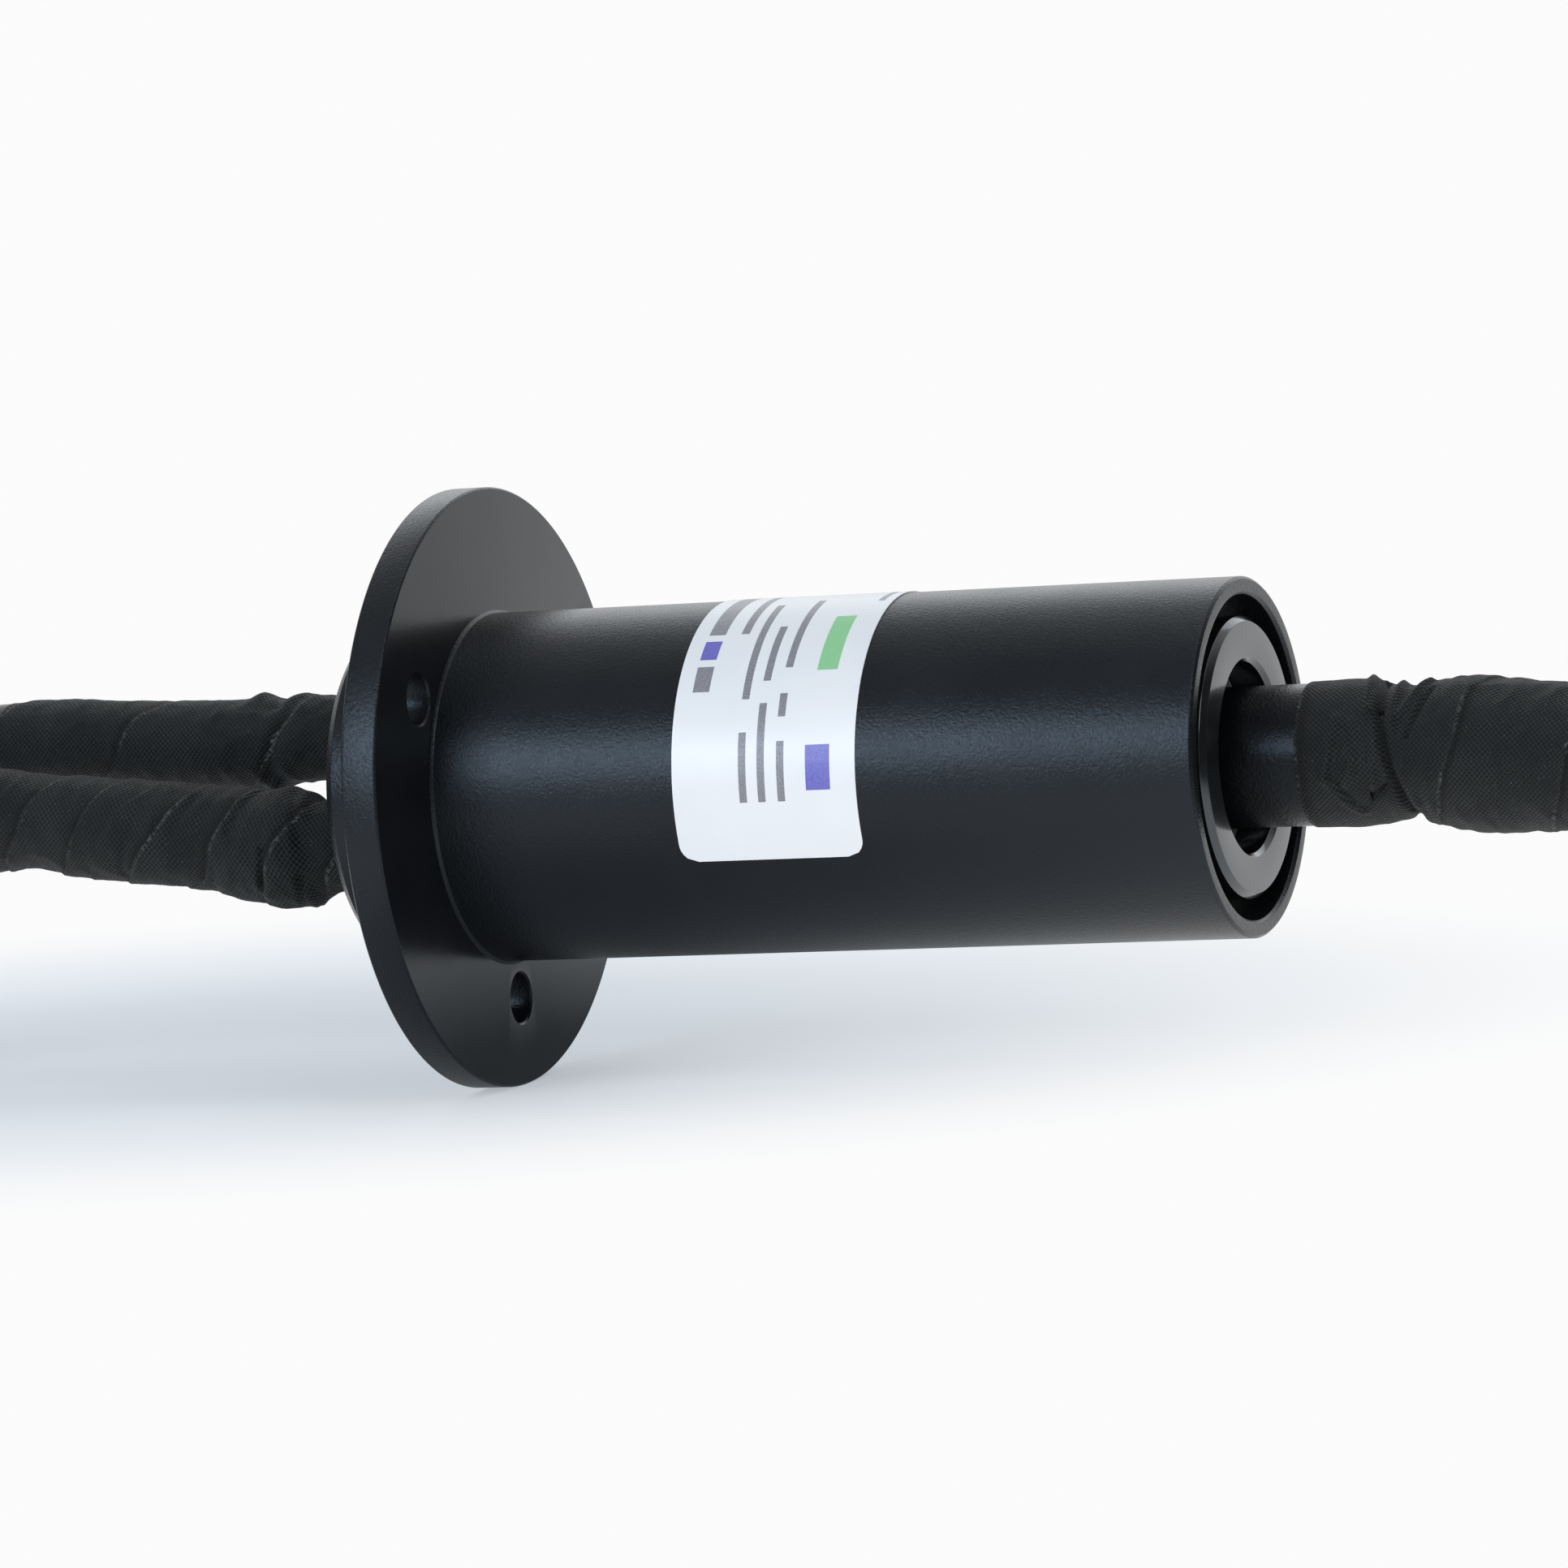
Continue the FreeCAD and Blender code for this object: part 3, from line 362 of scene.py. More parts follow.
def cloth(name):
    """Woven tape: a fine lattice of threads with painted shade between them, laps with painted
    shade just past their step and a frayed edge, lint, and painted shade in the folds.
    """
    look = Surface(name)
    wrap = look.parts(look.node("UVMap", uv_map="wrap"))
    laps = look.parts(look.node("UVMap", uv_map="laps"))

    thread_pitch, warping = 0.54 * MM, 0.35 * MM
    along = look.math("MULTIPLY_ADD", look.noise(2.4 * MM), warping, wrap[0])
    waves = 2 * math.pi / thread_pitch
    weave = look.times(*[look.math("SINE", look.times(way, waves)) for way in (along, wrap[1])])
    fibre = look.noise(0.16 * MM, 2.0, 0.7)

    # A lap's edge is where its count of turns is a whole number; just past it, where the lap steps
    # down, a painted shade darkens the cloth.
    edge = 0.0
    lap_foot_shade = 0.0
    for turns in laps[:2]:
        share = look.math("FRACT", turns)
        from_middle = look.math("ABSOLUTE", look.math("SUBTRACT", share, 0.5))
        edge = look.most(edge, look.ranged(from_middle, 0.478, 0.492))
        from_foot = look.math("ABSOLUTE", look.math("SUBTRACT", share, 0.03))
        lap_foot_shade = look.most(lap_foot_shade, look.ranged(from_foot, 0.008, 0.05, 1.0, 0.0))
    tufts = look.times(look.ranged(look.noise(0.4 * MM, 3.0, 0.7), 0.47, 0.62),
                       look.ranged(look.noise(3.5 * MM, 1.0), 0.42, 0.60, 0.1, 1.0))
    frayed = look.times(edge, tufts)
    lint = look.ranged(look.noise(0.20 * MM, 1.0, 0.4), 0.74, 0.79, 0.0, 0.45)

    # Painted shade: the holes between the threads are darker, and the hollows of the folds and the
    # laps' lower steps are painted darker still.
    base = look.mix(look.ranged(look.noise(5 * MM, 3.0), 0.35, 0.65),
                    (0.010, 0.0135, 0.0145), (0.022, 0.026, 0.0265))
    # Painted shade in the holes between the threads.
    weave_with_gap_shade = look.mix(look.ranged(weave, -0.45, 0.45, 0.95, 0.0), base, (0.0012, 0.0016, 0.0018))
    fold_hollow_shade = look.ranged(look.node("NewGeometry", out="Pointiness"), 0.40, 0.485, 1.0, 0.0)
    with_painted_shade = look.mix(look.times(look.most(lap_foot_shade, fold_hollow_shade), 0.85), weave_with_gap_shade, (0.0008, 0.001, 0.001))
    pale = look.most(lint, look.times(frayed, 0.55))
    look.set(Base_Color=look.mix(pale, with_painted_shade, (0.16, 0.175, 0.17)),
             Roughness=look.ranged(fibre, *MOST_OF_NOISE, 0.55, 0.85),
             Normal=look.bump(look.math("MULTIPLY_ADD", fibre, 0.4, weave), 0.07 * MM),
             Sheen_Weight=0.06, Sheen_Roughness=0.4, Specular_IOR_Level=0.3)
    return look.material


def bar_mask(look, ways, limits):
    """1 inside one bar of the label's print, else 0."""
    tests = []
    for way, (low, high) in zip(ways, (limits[:2], limits[2:])):
        tests.append(look.math("GREATER_THAN", way, low * MM))
        tests.append(look.math("LESS_THAN", way, high * MM))
    return reduce(look.times, tests)


def label_film(name):
    """White printed film with a soft sheen and a faintly uneven surface."""
    look = Surface(name)
    ways = look.parts(look.node("UVMap", uv_map="film"))[:2]
    ink = look.noise(0.12 * MM)
    film = look.mix(look.ranged(look.noise(9 * MM), *MOST_OF_NOISE),
                    (0.86, 0.87, 0.885), (0.90, 0.905, 0.91))
    for density, color, bars in PRINT:
        mask = reduce(look.most, [bar_mask(look, ways, limits) for limits in bars])
        film = look.mix(look.times(mask, look.ranged(ink, 0.2, 0.8, density, 1.0)), film, color)
    look.set(Base_Color=film, Roughness=look.ranged(ink, *MOST_OF_NOISE, 0.32, 0.42),
             Normal=look.bump(look.noise(1.6 * MM), 0.02 * MM), Specular_IOR_Level=0.6)
    return look.material


MATERIALS = {
    "black_anodised": anodised,
    "satin_anodised": partial(
        turned_face, color=(0.006, 0.0065, 0.0072), roughness=0.13, ring_pitch=0.05 * MM,
        ring_depth=0.0012 * MM, IOR=1.85, Specular_IOR_Level=0.5,
        Specular_Tint=(0.86, 0.94, 1.0, 1.0)),
    "black_blasted": partial(
        grained, color=(0.003, 0.0032, 0.004), roughness=0.25, grain_size=0.30 * MM,
        grain_depth=0.06 * MM, spread=0.04, IOR=1.5, Specular_IOR_Level=0.27,
        Specular_Tint=COOL_GLOSS),
    "frame_plastic": partial(
        grained, color=(0.035, 0.035, 0.038), roughness=0.5, grain_size=0.1 * MM,
        grain_depth=0.006 * MM),
    "core_plastic": partial(
        grained, color=(0.025, 0.025, 0.027), roughness=0.45, grain_size=0.1 * MM,
        grain_depth=0.004 * MM),
    "screw_steel": partial(
        grained, color=(0.045, 0.045, 0.048), roughness=0.35, grain_size=0.08 * MM,
        grain_depth=0.004 * MM, Metallic=0.6),
    "spring_steel": partial(
        turned_face, color=(0.22, 0.22, 0.23), roughness=0.35, ring_pitch=0.06 * MM,
        ring_depth=0.002 * MM, Metallic=1.0),
    "bearing_steel": partial(
        turned_face, color=(0.60, 0.60, 0.61), roughness=0.22, ring_pitch=0.04 * MM,
        ring_depth=0.001 * MM, Metallic=1.0),
    "ball_steel": partial(
        grained, color=(0.75, 0.75, 0.76), roughness=0.08, grain_size=0.2 * MM,
        grain_depth=0.0005 * MM, spread=0.02, Metallic=1.0),
    "board": partial(
        grained, color=(0.02, 0.13, 0.05), roughness=0.4, grain_size=0.16 * MM,
        grain_depth=0.01 * MM, tint=(0.03, 0.19, 0.08)),
    "brush_wire": partial(
        grained, color=(0.88, 0.62, 0.22), roughness=0.22, grain_size=0.1 * MM,
        grain_depth=0.002 * MM, Metallic=1.0),
    "ring_metal": partial(
        turned_face, color=(0.90, 0.64, 0.25), roughness=0.18, ring_pitch=0.04 * MM,
        ring_depth=0.001 * MM, Metallic=1.0),
    "label_foil": label_film,
    "lead_sleeve": partial(
        grained, color=(0.014, 0.0145, 0.019), roughness=0.42, grain_size=0.5 * MM,
        grain_depth=0.03 * MM, spread=0.06, Specular_IOR_Level=0.45),
    "cloth_tape": cloth,
}


@cache
def look_of(slot):
    """The material of a record's slot, made once."""
    return MATERIALS[slot](slot)


@cache
def wire_looks():
    """Insulation in each colour, and last the bare strands at the tips, made once."""
    looks = []
    for index, color in enumerate(WIRE_COLORS):
        looks.append(grained("wire_insulation_%d" % index, color, roughness=0.32,
                             grain_size=0.3 * MM, grain_depth=0.004 * MM,
                             tint=tuple(channel * 0.85 for channel in color), mottle=3 * MM))
    looks.append(grained("tinned_strands", (0.62, 0.60, 0.56), roughness=0.3,
                         grain_size=0.08 * MM, grain_depth=0.02 * MM, Metallic=1.0))
    return looks


def link_mesh(name, mesh, slot, body, replaced=()):
    """A new piece with a slot's material, riding on a body."""
    piece = bpy.data.objects.new(name, mesh)
    bpy.context.scene.collection.objects.link(piece)
    if not mesh.materials:
        mesh.materials.append(look_of(slot))
    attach(piece, body)
    if replaced:
        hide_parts(*replaced)
    return piece


def mesh_of(work, name):
    """A finished bmesh as a new mesh."""
    mesh = bpy.data.meshes.new(name)
    work.to_mesh(mesh)
    work.free()
    return mesh


def bridge(work, inner, outer):
    """Quads between two rings of vertices."""
    count = len(inner)
    return [work.faces.new((inner[step], inner[(step + 1) % count],
                            outer[(step + 1) % count], outer[step])) for step in range(count)]


def clean_mesh(mesh, sharp=22.0):
    """Weld, point the normals outwards and shade smooth between edges over sharp degrees."""
    work = bmesh.new()
    work.from_mesh(mesh)
    bmesh.ops.remove_doubles(work, verts=work.verts, dist=1e-7)
    bmesh.ops.dissolve_degenerate(work, edges=work.edges, dist=1e-8)
    bmesh.ops.recalc_face_normals(work, faces=work.faces)
    work.to_mesh(mesh)
    work.free()
    mesh.shade_smooth()
    mesh.set_sharp_from_angle(angle=math.radians(sharp))


def lathe_mesh(name, outline, count):
    """An outline turned about the X axis in this many steps."""
    verts = []
    faces = []
    size = len(outline)
    for step in range(count):
        angle = 2 * math.pi * step / count
        for x, radius in outline:
            verts.append((x * MM, radius * MM * math.cos(angle), radius * MM * math.sin(angle)))
    for step in range(count):
        after = (step + 1) % count
        for index in range(size):
            following = (index + 1) % size
            faces.append((step * size + index, after * size + index,
                          after * size + following, step * size + following))
    mesh = bpy.data.meshes.new(name)
    mesh.from_pydata(verts, [], faces)
    clean_mesh(mesh)
    return mesh


def cut_mesh(mesh, cutters):
    """The mesh with the cutters' volumes taken out."""
    piece = bpy.data.objects.new("cutting", mesh)
    bpy.context.scene.collection.objects.link(piece)
    tools = []
    for index, cutter in enumerate(cutters):
        tool = bpy.data.objects.new("cutter_%d" % index, cutter)
        bpy.context.scene.collection.objects.link(tool)
        modifier = piece.modifiers.new("cut_%d" % index, "BOOLEAN")
        modifier.operation = "DIFFERENCE"
        modifier.solver = "EXACT"
        modifier.object = tool
        tools.append(tool)
    bpy.context.view_layer.update()
    graph = bpy.context.evaluated_depsgraph_get()
    result = bpy.data.meshes.new_from_object(piece.evaluated_get(graph))
    for item in tools + [piece]:
        bpy.data.objects.remove(item)
    clean_mesh(result)
    return result


def hole_cutter(faces, y, z, radius, chamfer):
    """A drill along X that goes past both faces, with a chamfer at each."""
    low, high = faces
    past = 1
    mouth = radius + chamfer + past
    outline = [(low - past, 0), (low - past, mouth), (low + chamfer, radius),
               (high - chamfer, radius), (high + past, mouth), (high + past, 0)]
    mesh = lathe_mesh("drill", outline, 64)
    mesh.transform(Matrix.Translation((0, y * MM, z * MM)))
    return mesh


def softened(outline, radius):
    """The outline with each corner off the axis rounded a little."""
    steps = 3
    most_of_edge = 0.4
    rounded = []
    count = len(outline)
    for index, (x, r) in enumerate(outline):
        corner = Vector((x, r))
        before = Vector(outline[index - 1]) - corner
        after = Vector(outline[(index + 1) % count]) - corner
        reach = min(radius, before.length * most_of_edge, after.length * most_of_edge)
        if r < 1e-6 or reach < 1e-4:
            rounded.append((x, r))
            continue
        start = corner + before.normalized() * reach
        end = corner + after.normalized() * reach
        for step in range(steps + 1):
            share = step / steps
            point = (start.lerp(corner, share)).lerp(corner.lerp(end, share), share)
            rounded.append((point.x, point.y))
    return rounded


def make_housing():
    mesh = lathe_mesh("housing_body", softened(HOUSING_OUTLINE, 0.07), 256)
    cutters = []
    for degrees in BOLT_TURNS:
        angle = math.radians(degrees)
        cutters.append(hole_cutter(FLANGE_FACES, BOLT_CIRCLE_RADIUS * math.cos(angle),
                                   BOLT_CIRCLE_RADIUS * math.sin(angle), BOLT_HOLE_RADIUS,
                                   BOLT_HOLE_CHAMFER))
    link_mesh("housing_body", cut_mesh(mesh, cutters), "black_anodised", "stator", ["housing"])


def make_end_cap():
    mesh = lathe_mesh("end_cap_body", softened(END_CAP_OUTLINE, 0.06), 256)
    link_mesh("end_cap_body", mesh, "satin_anodised", "rotor", ["rotor_end_cap"])


def make_tube():
    mesh = lathe_mesh("outlet_tube_body", softened(TUBE_OUTLINE, 0.05), 192)
    link_mesh("outlet_tube_body", mesh, "black_blasted", "rotor", ["outlet_tube"])


def make_screws():
    """Countersunk socket screws, flush in the rear cap."""
    work = bmesh.new()
    count = 48
    for degrees in SCREW_TURNS:
        turn = math.radians(degrees)
        y, z = Vector((SCREW_CIRCLE_RADIUS * math.cos(turn), SCREW_CIRCLE_RADIUS * math.sin(turn)))
        rings = []
        for x, radius, six_sided in SCREW_OUTLINE:
            ring = []
            for step in range(count):
                angle = 2 * math.pi * step / count
                reach = radius
                if six_sided:
                    reach = radius / math.cos((angle % (math.pi / 3)) - math.pi / 6)
                ring.append(work.verts.new((x * MM, (y + reach * math.cos(angle)) * MM,
                                            (z + reach * math.sin(angle)) * MM)))
            rings.append(ring)
        for inner, outer in zip(rings, rings[1:]):
            bridge(work, inner, outer)
    mesh = mesh_of(work, "cap_screws")
    clean_mesh(mesh, 30.0)
    link_mesh("cap_screws", mesh, "screw_steel", "stator", ["rear_cap_screws"])


def make_label():
    """Film bent round the barrel, with round corners and a faintly uneven face."""
    start, width = 26.6, 19.7
    low, high = -21.7, 139.0  # degrees up from the front
    inner, thick, corner = 18.02, 0.09, 1.8
    arc = math.radians(high - low) * BARREL_RADIUS
    rows, columns = 120, 40
    verts = []
    uvs = []
    for is_face in (False, True):
        for row in range(rows + 1):
            around = arc * row / rows
            edge = min(around, arc - around)
            inset = 0.0
            if edge < corner:
                inset = corner - math.sqrt(max(0.0, corner ** 2 - (corner - edge) ** 2))
            for column in range(columns + 1):
                x = inset + (width - 2 * inset) * column / columns
                angle = math.radians(low) + around / BARREL_RADIUS
                lift = 0.012 * noise.noise(Vector((x * 0.35, around * 0.35, 3.0)))
                radius = inner + (thick + lift if is_face else 0.0)
                verts.append(((start + x) * MM, -radius * MM * math.cos(angle),
                              radius * MM * math.sin(angle)))
                uvs.append((x * MM, around * MM))
    size = columns + 1
    half = (rows + 1) * size
    faces = []
    for row in range(rows):
        for column in range(columns):
            spot = row * size + column
            faces.append((half + spot, half + spot + 1, half + spot + size + 1,
                          half + spot + size))
            faces.append((spot, spot + size, spot + size + 1, spot + 1))
    rim = (list(range(columns))
           + [row * size + columns for row in range(rows)]
           + [rows * size + column for column in range(columns, 0, -1)]
           + [row * size for row in range(rows, 0, -1)])
    for vert, after in zip(rim, rim[1:] + rim[:1]):
        faces.append((vert, after, half + after, half + vert))
    mesh = bpy.data.meshes.new("rating_label")
    mesh.from_pydata(verts, [], faces)
    layer = mesh.uv_layers.new(name="film")
    for loop in mesh.loops:
        layer.data[loop.index].uv = uvs[loop.vertex_index]
    clean_mesh(mesh, 40.0)
    link_mesh("rating_label", mesh, "label_foil", "stator", ["label"])


def route_points(route):
    """Points along the smooth line of a route: a NURBS spline with the route as its points."""
    curve = bpy.data.curves.new("route", "CURVE")
    curve.dimensions = "3D"
    spline = curve.splines.new("NURBS")
    spline.points.add(len(route) - 1)
    for point, place in zip(spline.points, route):
        point.co = (place[0] * MM, place[1] * MM, place[2] * MM, 1.0)
    spline.order_u = 3
    spline.use_endpoint_u = True
    spline.resolution_u = 24
    guide = bpy.data.objects.new("route", curve)
    bpy.context.scene.collection.objects.link(guide)
    bpy.context.view_layer.update()
    graph = bpy.context.evaluated_depsgraph_get()
    line = bpy.data.meshes.new_from_object(guide.evaluated_get(graph))
    points = [vertex.co.copy() for vertex in line.vertices]
    bpy.data.objects.remove(guide)
    bpy.data.meshes.remove(line)
    return points


class Line:
    """A smooth line with its places and a steady frame by length, in metres."""

    def __init__(self, points):
        self.points = points
        self.reach = [0.0]
        for before, after in zip(points, points[1:]):
            self.reach.append(self.reach[-1] + (after - before).length)
        self.length = self.reach[-1]

    def place(self, s):
        s = min(max(s, 0.0), self.length)
        low = min(bisect_right(self.reach, s) - 1, len(self.reach) - 2)
        share = (s - self.reach[low]) / (self.reach[low + 1] - self.reach[low])
        return self.points[low].lerp(self.points[low + 1], share)

    def frame(self, s):
        """Place, direction to the front and direction up across the line at this length.

        The line's own direction is taken over a few millimetres, which keeps the frame steady.
        """
        step = 1.5 * MM
        direction = (self.place(s + step) - self.place(s - step)).normalized()
        side = direction.cross(Vector((0, 0, 1))).normalized()
        if direction.x < 0:
            side = -side
        up = Vector((0, 0, 1)) - direction * direction.z
        return self.place(s), side, up.normalized()


def held(share):
    return min(1.0, max(0.0, share))


def degrees_from(angle, turn):
    """How far an angle is from a turn in degrees, from -180 to 180."""
    return (math.degrees(angle) - turn + 180) % 360 - 180


def eased(table, at):
    """A smooth value between the rows of a table of (place, value)."""
    if at <= table[0][0]:
        return table[0][1]
    for (low, first), (high, second) in zip(table, table[1:]):
        if at <= high:
            share = (at - low) / (high - low)
            share = share * share * (3 - 2 * share)
            return first + (second - first) * share
    return table[-1][1]


def tube_mesh(name, line, start, end, skin, step, count, slant=0.0):
    """A closed tube along a line. skin(length, angle) gives its radius and its laps.

    Two UV layers go with it: wrap holds the length and the way round in metres, and laps holds
    the layers' counts of turns, or 0.5 where there is no lap.
    """
    rows = max(2, int(round((end - start) / step)) + 1)
    verts = []
    wraps = []
    for row in range(rows):
        s = start + (end - start) * row / (rows - 1)
        place, side, up = line.frame(s)
        for column in range(count):
            angle = 2 * math.pi * column / count
            reach, laps = skin(s, angle)
            verts.append(place + side * (reach * math.cos(angle)) + up * (reach * math.sin(angle)))
            wraps.append((s, laps))
    faces = [tuple(range(count)), tuple(range((rows - 1) * count, rows * count))]
    for row in range(rows - 1):
        for column in range(count):
            after = (column + 1) % count
            faces.append((row * count + column, row * count + after,
                          (row + 1) * count + after, (row + 1) * count + column))
    mesh = bpy.data.meshes.new(name)
    mesh.from_pydata(verts, [], faces)
    wrap_layer = mesh.uv_layers.new(name="wrap")
    laps_layer = mesh.uv_layers.new(name="laps")
    mean = sum((verts[column] - line.place(start)).length for column in range(count)) / count
    for polygon in mesh.polygons:
        vertices = [mesh.loops[index].vertex_index for index in polygon.loop_indices]
        columns = [vertex % count for vertex in vertices]
        closing = len(columns) == 4 and max(columns) - min(columns) > 2
        for index, vertex, column in zip(polygon.loop_indices, vertices, columns):
            full = 1 if closing and column == 0 else 0
            s, laps = wraps[vertex]
            wrap_layer.data[index].uv = (s, mean * 2 * math.pi * (column / count + full))
            laps_layer.data[index].uv = [0.5 if lap is None else lap + slant * full
                                         for lap in laps]
    work = bmesh.new()
    work.from_mesh(mesh)
    bmesh.ops.recalc_face_normals(work, faces=work.faces)
    work.to_mesh(mesh)
    work.free()
    mesh.shade_smooth()
    return mesh


def wound(s, angle, pitch, slant, layers, seed):
    """Height of wound tape over the base, and the first two layers' counts of turns."""
    height = 0.0
    turns = []
    for index, (first_seam, thick) in enumerate(layers):
        stray = noise.noise(Vector((s / (9 * MM), math.cos(angle) * 0.8,
                                    math.sin(angle) * 0.8 + seed + 7.0 * index)))
        turn = ((s - first_seam * MM) / pitch + slant * angle / (2 * math.pi)
                + LAP_WANDER / pitch * stray)
        share = turn - math.floor(turn)
        fall = LAP_EDGE / pitch
        level = 1.0 - share / fall if share < fall else (share - fall) / (1.0 - fall)
        height += thick * MM * (level - 0.5)
        turns.append(turn)
    return height, (turns + [None])[:2]


def wrinkles(s, angle, seed, along, size):
    """Creases that run mostly round the lead."""
    y, z = Vector((math.cos(angle), math.sin(angle)))
    first = noise.noise(Vector((s / along, y * 1.6 + seed, z * 1.6)))
    second = noise.noise(Vector((s / along * 2.7, y * 3.1, z * 3.1 + seed)))
    return size * ((1.0 - abs(first) * 2.0) * 0.6 + second * 0.5)


def dents(s, angle, places):
    """Swellings and hollows: place, degrees up from the front, length, degrees wide, height."""
    total = 0.0
    for place, turn, long, wide, high in places:
        across = degrees_from(angle, turn)
        along = s / MM - place
        total += high * MM * math.exp(-(along / long) ** 2 - (across / wide) ** 2)
    return total


def folds(s, angle, radius, lines):
    """Straight ridges and grooves: two ends as (place, degrees up from the front), then their
    width and height."""
    total = 0.0
    for first, second, wide, high in lines:
        turn = degrees_from(angle, first[1])
        here = Vector((s / MM - first[0], math.radians(turn) * radius))
        run = Vector((second[0] - first[0], math.radians(second[1] - first[1]) * radius))
        share = held(here.dot(run) / run.length_squared)
        away = (here - run * share).length
        total += high * MM * math.exp(-(away / wide) ** 2)
    return total


def make_lead(cad, body, route, diameter, wires, tape_end, step_down, profile, shift, winding,
              bumps, creases, seed):
    """Taped stretch, smooth sleeve and bare wires of one lead, all on the same line.

    The profile gives the tape's diameter and the shift how far its skin lies higher, both by
    place. The sleeve's radius is smaller than the tape's by step_down. The winding is the pitch,
    the turns that a seam gains in one way round, and each layer's first seam and thickness.
    """
    name = cad + "_dressed"
    line = Line(route_points(route))
    pitch, slant, layers = winding
    plain, fading = 1.0, 3.0

    def raised(s, angle):
        return eased(shift, s / MM) * MM * math.sin(angle)

    def taped(s, angle):
        base = eased(profile, s / MM) / 2 * MM + raised(s, angle)
        fade = held((s / MM - plain) / fading)
        height, laps = wound(s, angle, pitch * MM, slant, layers, seed)
        depth = eased(WRINKLE_DEPTHS, s / MM)
        reach = base + fade * height + wrinkles(s, angle, seed, 3.2 * MM, depth * MM)
        reach += dents(s, angle, bumps) + folds(s, angle, diameter / 2, creases)
        return reach, (laps if fade > 0.5 else NO_LAPS)

    sleeve_radius = eased(profile, tape_end) / 2 * MM - step_down * MM
    rise_start, rise = 6.0, 4.0

    def sleeved(s, angle):
        """Well under the tape, and out to the sleeve's own radius near the tape's end."""
        ripple = 0.05 * MM * noise.noise(Vector((s / (14 * MM), math.cos(angle) * 2 + seed,
                                                 math.sin(angle) * 2)))
        covered = min(sleeve_radius,
                      eased(profile, s / MM) / 2 * MM - SLEEVE_COVER * diameter * MM)
        share = held((s / MM - tape_end + rise_start) / rise)
        reach = covered + (sleeve_radius - covered) * share + ripple + raised(s, angle)
        return reach, NO_LAPS

    tape_mesh = tube_mesh(name + "_tape", line, 0.0, tape_end * MM, taped, TAPE_STEP, count=200,
                          slant=slant)
    tape = link_mesh(name + "_tape", tape_mesh, "cloth_tape", body)
    sleeve_mesh = tube_mesh(name + "_sleeve", line, 0.0, line.length, sleeved, step=1.2 * MM,
                            count=64)
    cord = link_mesh(name + "_sleeve", sleeve_mesh, "lead_sleeve", body, [cad])
    ends = make_wires(name + "_wires", body, line, wires, cad + "_tails", seed)
    steps = 160
    path = [tuple(line.place(line.length * index / steps)) for index in range(steps + 1)]


def packed_spots(count, wire):
    """Spots of wires of this thickness laid side by side, one in the middle and rings round it."""
    play_out, play_round, twist = 1.06, 1.08, 0.7
    spots = [(0.0, 0.0)]
    ring = 1
    while len(spots) < count:
        reach = ring * wire * play_out
        placed = min(int(2 * math.pi * reach / (wire * play_round)), count - len(spots))
        for index in range(placed):
            angle = 2 * math.pi * index / placed + ring * twist
            spots.append((reach * math.cos(angle), reach * math.sin(angle)))
        ring += 1
    return spots


def make_wires(name, body, line, wires, cad, seed):
    """Separate insulated wires that come out of the sleeve's end, with stripped tips."""
    rng = random.Random(seed)
    count, thick = wires
    inside, stripped = 3.0, 4.0
    strands = 0.62  # of the insulation's thickness
    rows, sides = 16, 12
    place, side, up = line.frame(line.length)
    direction = (line.place(line.length) - line.place(line.length - 2 * MM)).normalized()
    work = bmesh.new()
    for index, (across, high) in enumerate(packed_spots(count, thick)):
        color = index % len(WIRE_COLORS)
        bend = Vector((rng.uniform(-1, 1), rng.uniform(-1, 1)))
        long = rng.uniform(24.0, 29.0)
        rings = []
        for row in range(rows + 1):
            run = -inside + (long + inside) * (row / rows)
            loose = max(0.0, run / long) ** 1.6
            y = across * (1 + 0.10 * loose) + bend.x * 0.35 * loose
            z = high * (1 + 0.06 * loose) + bend.y * 0.25 * loose
            bare = run > long - stripped
            reach = thick / 2 * (strands if bare else 1.0)
            centre = place + direction * (run * MM) + side * (y * MM) + up * (z * MM)
            ring = []
            for step in range(sides):
                angle = 2 * math.pi * step / sides
                ring.append(work.verts.new(centre + side * (reach * MM * math.cos(angle))
                                           + up * (reach * MM * math.sin(angle))))
            rings.append((ring, bare))
        for (inner, first_bare), (outer, second_bare) in zip(rings, rings[1:]):
            for face in bridge(work, inner, outer):
                face.material_index = len(WIRE_COLORS) if first_bare and second_bare else color
        work.faces.new(rings[0][0]).material_index = color
        work.faces.new(rings[-1][0]).material_index = len(WIRE_COLORS)
    bmesh.ops.recalc_face_normals(work, faces=work.faces)
    mesh = mesh_of(work, name)
    for look in wire_looks():
        mesh.materials.append(look)
    mesh.shade_smooth()
    mesh.set_sharp_from_angle(angle=math.radians(50))
    return link_mesh(name, mesh, "wire_insulation", body, [cad])


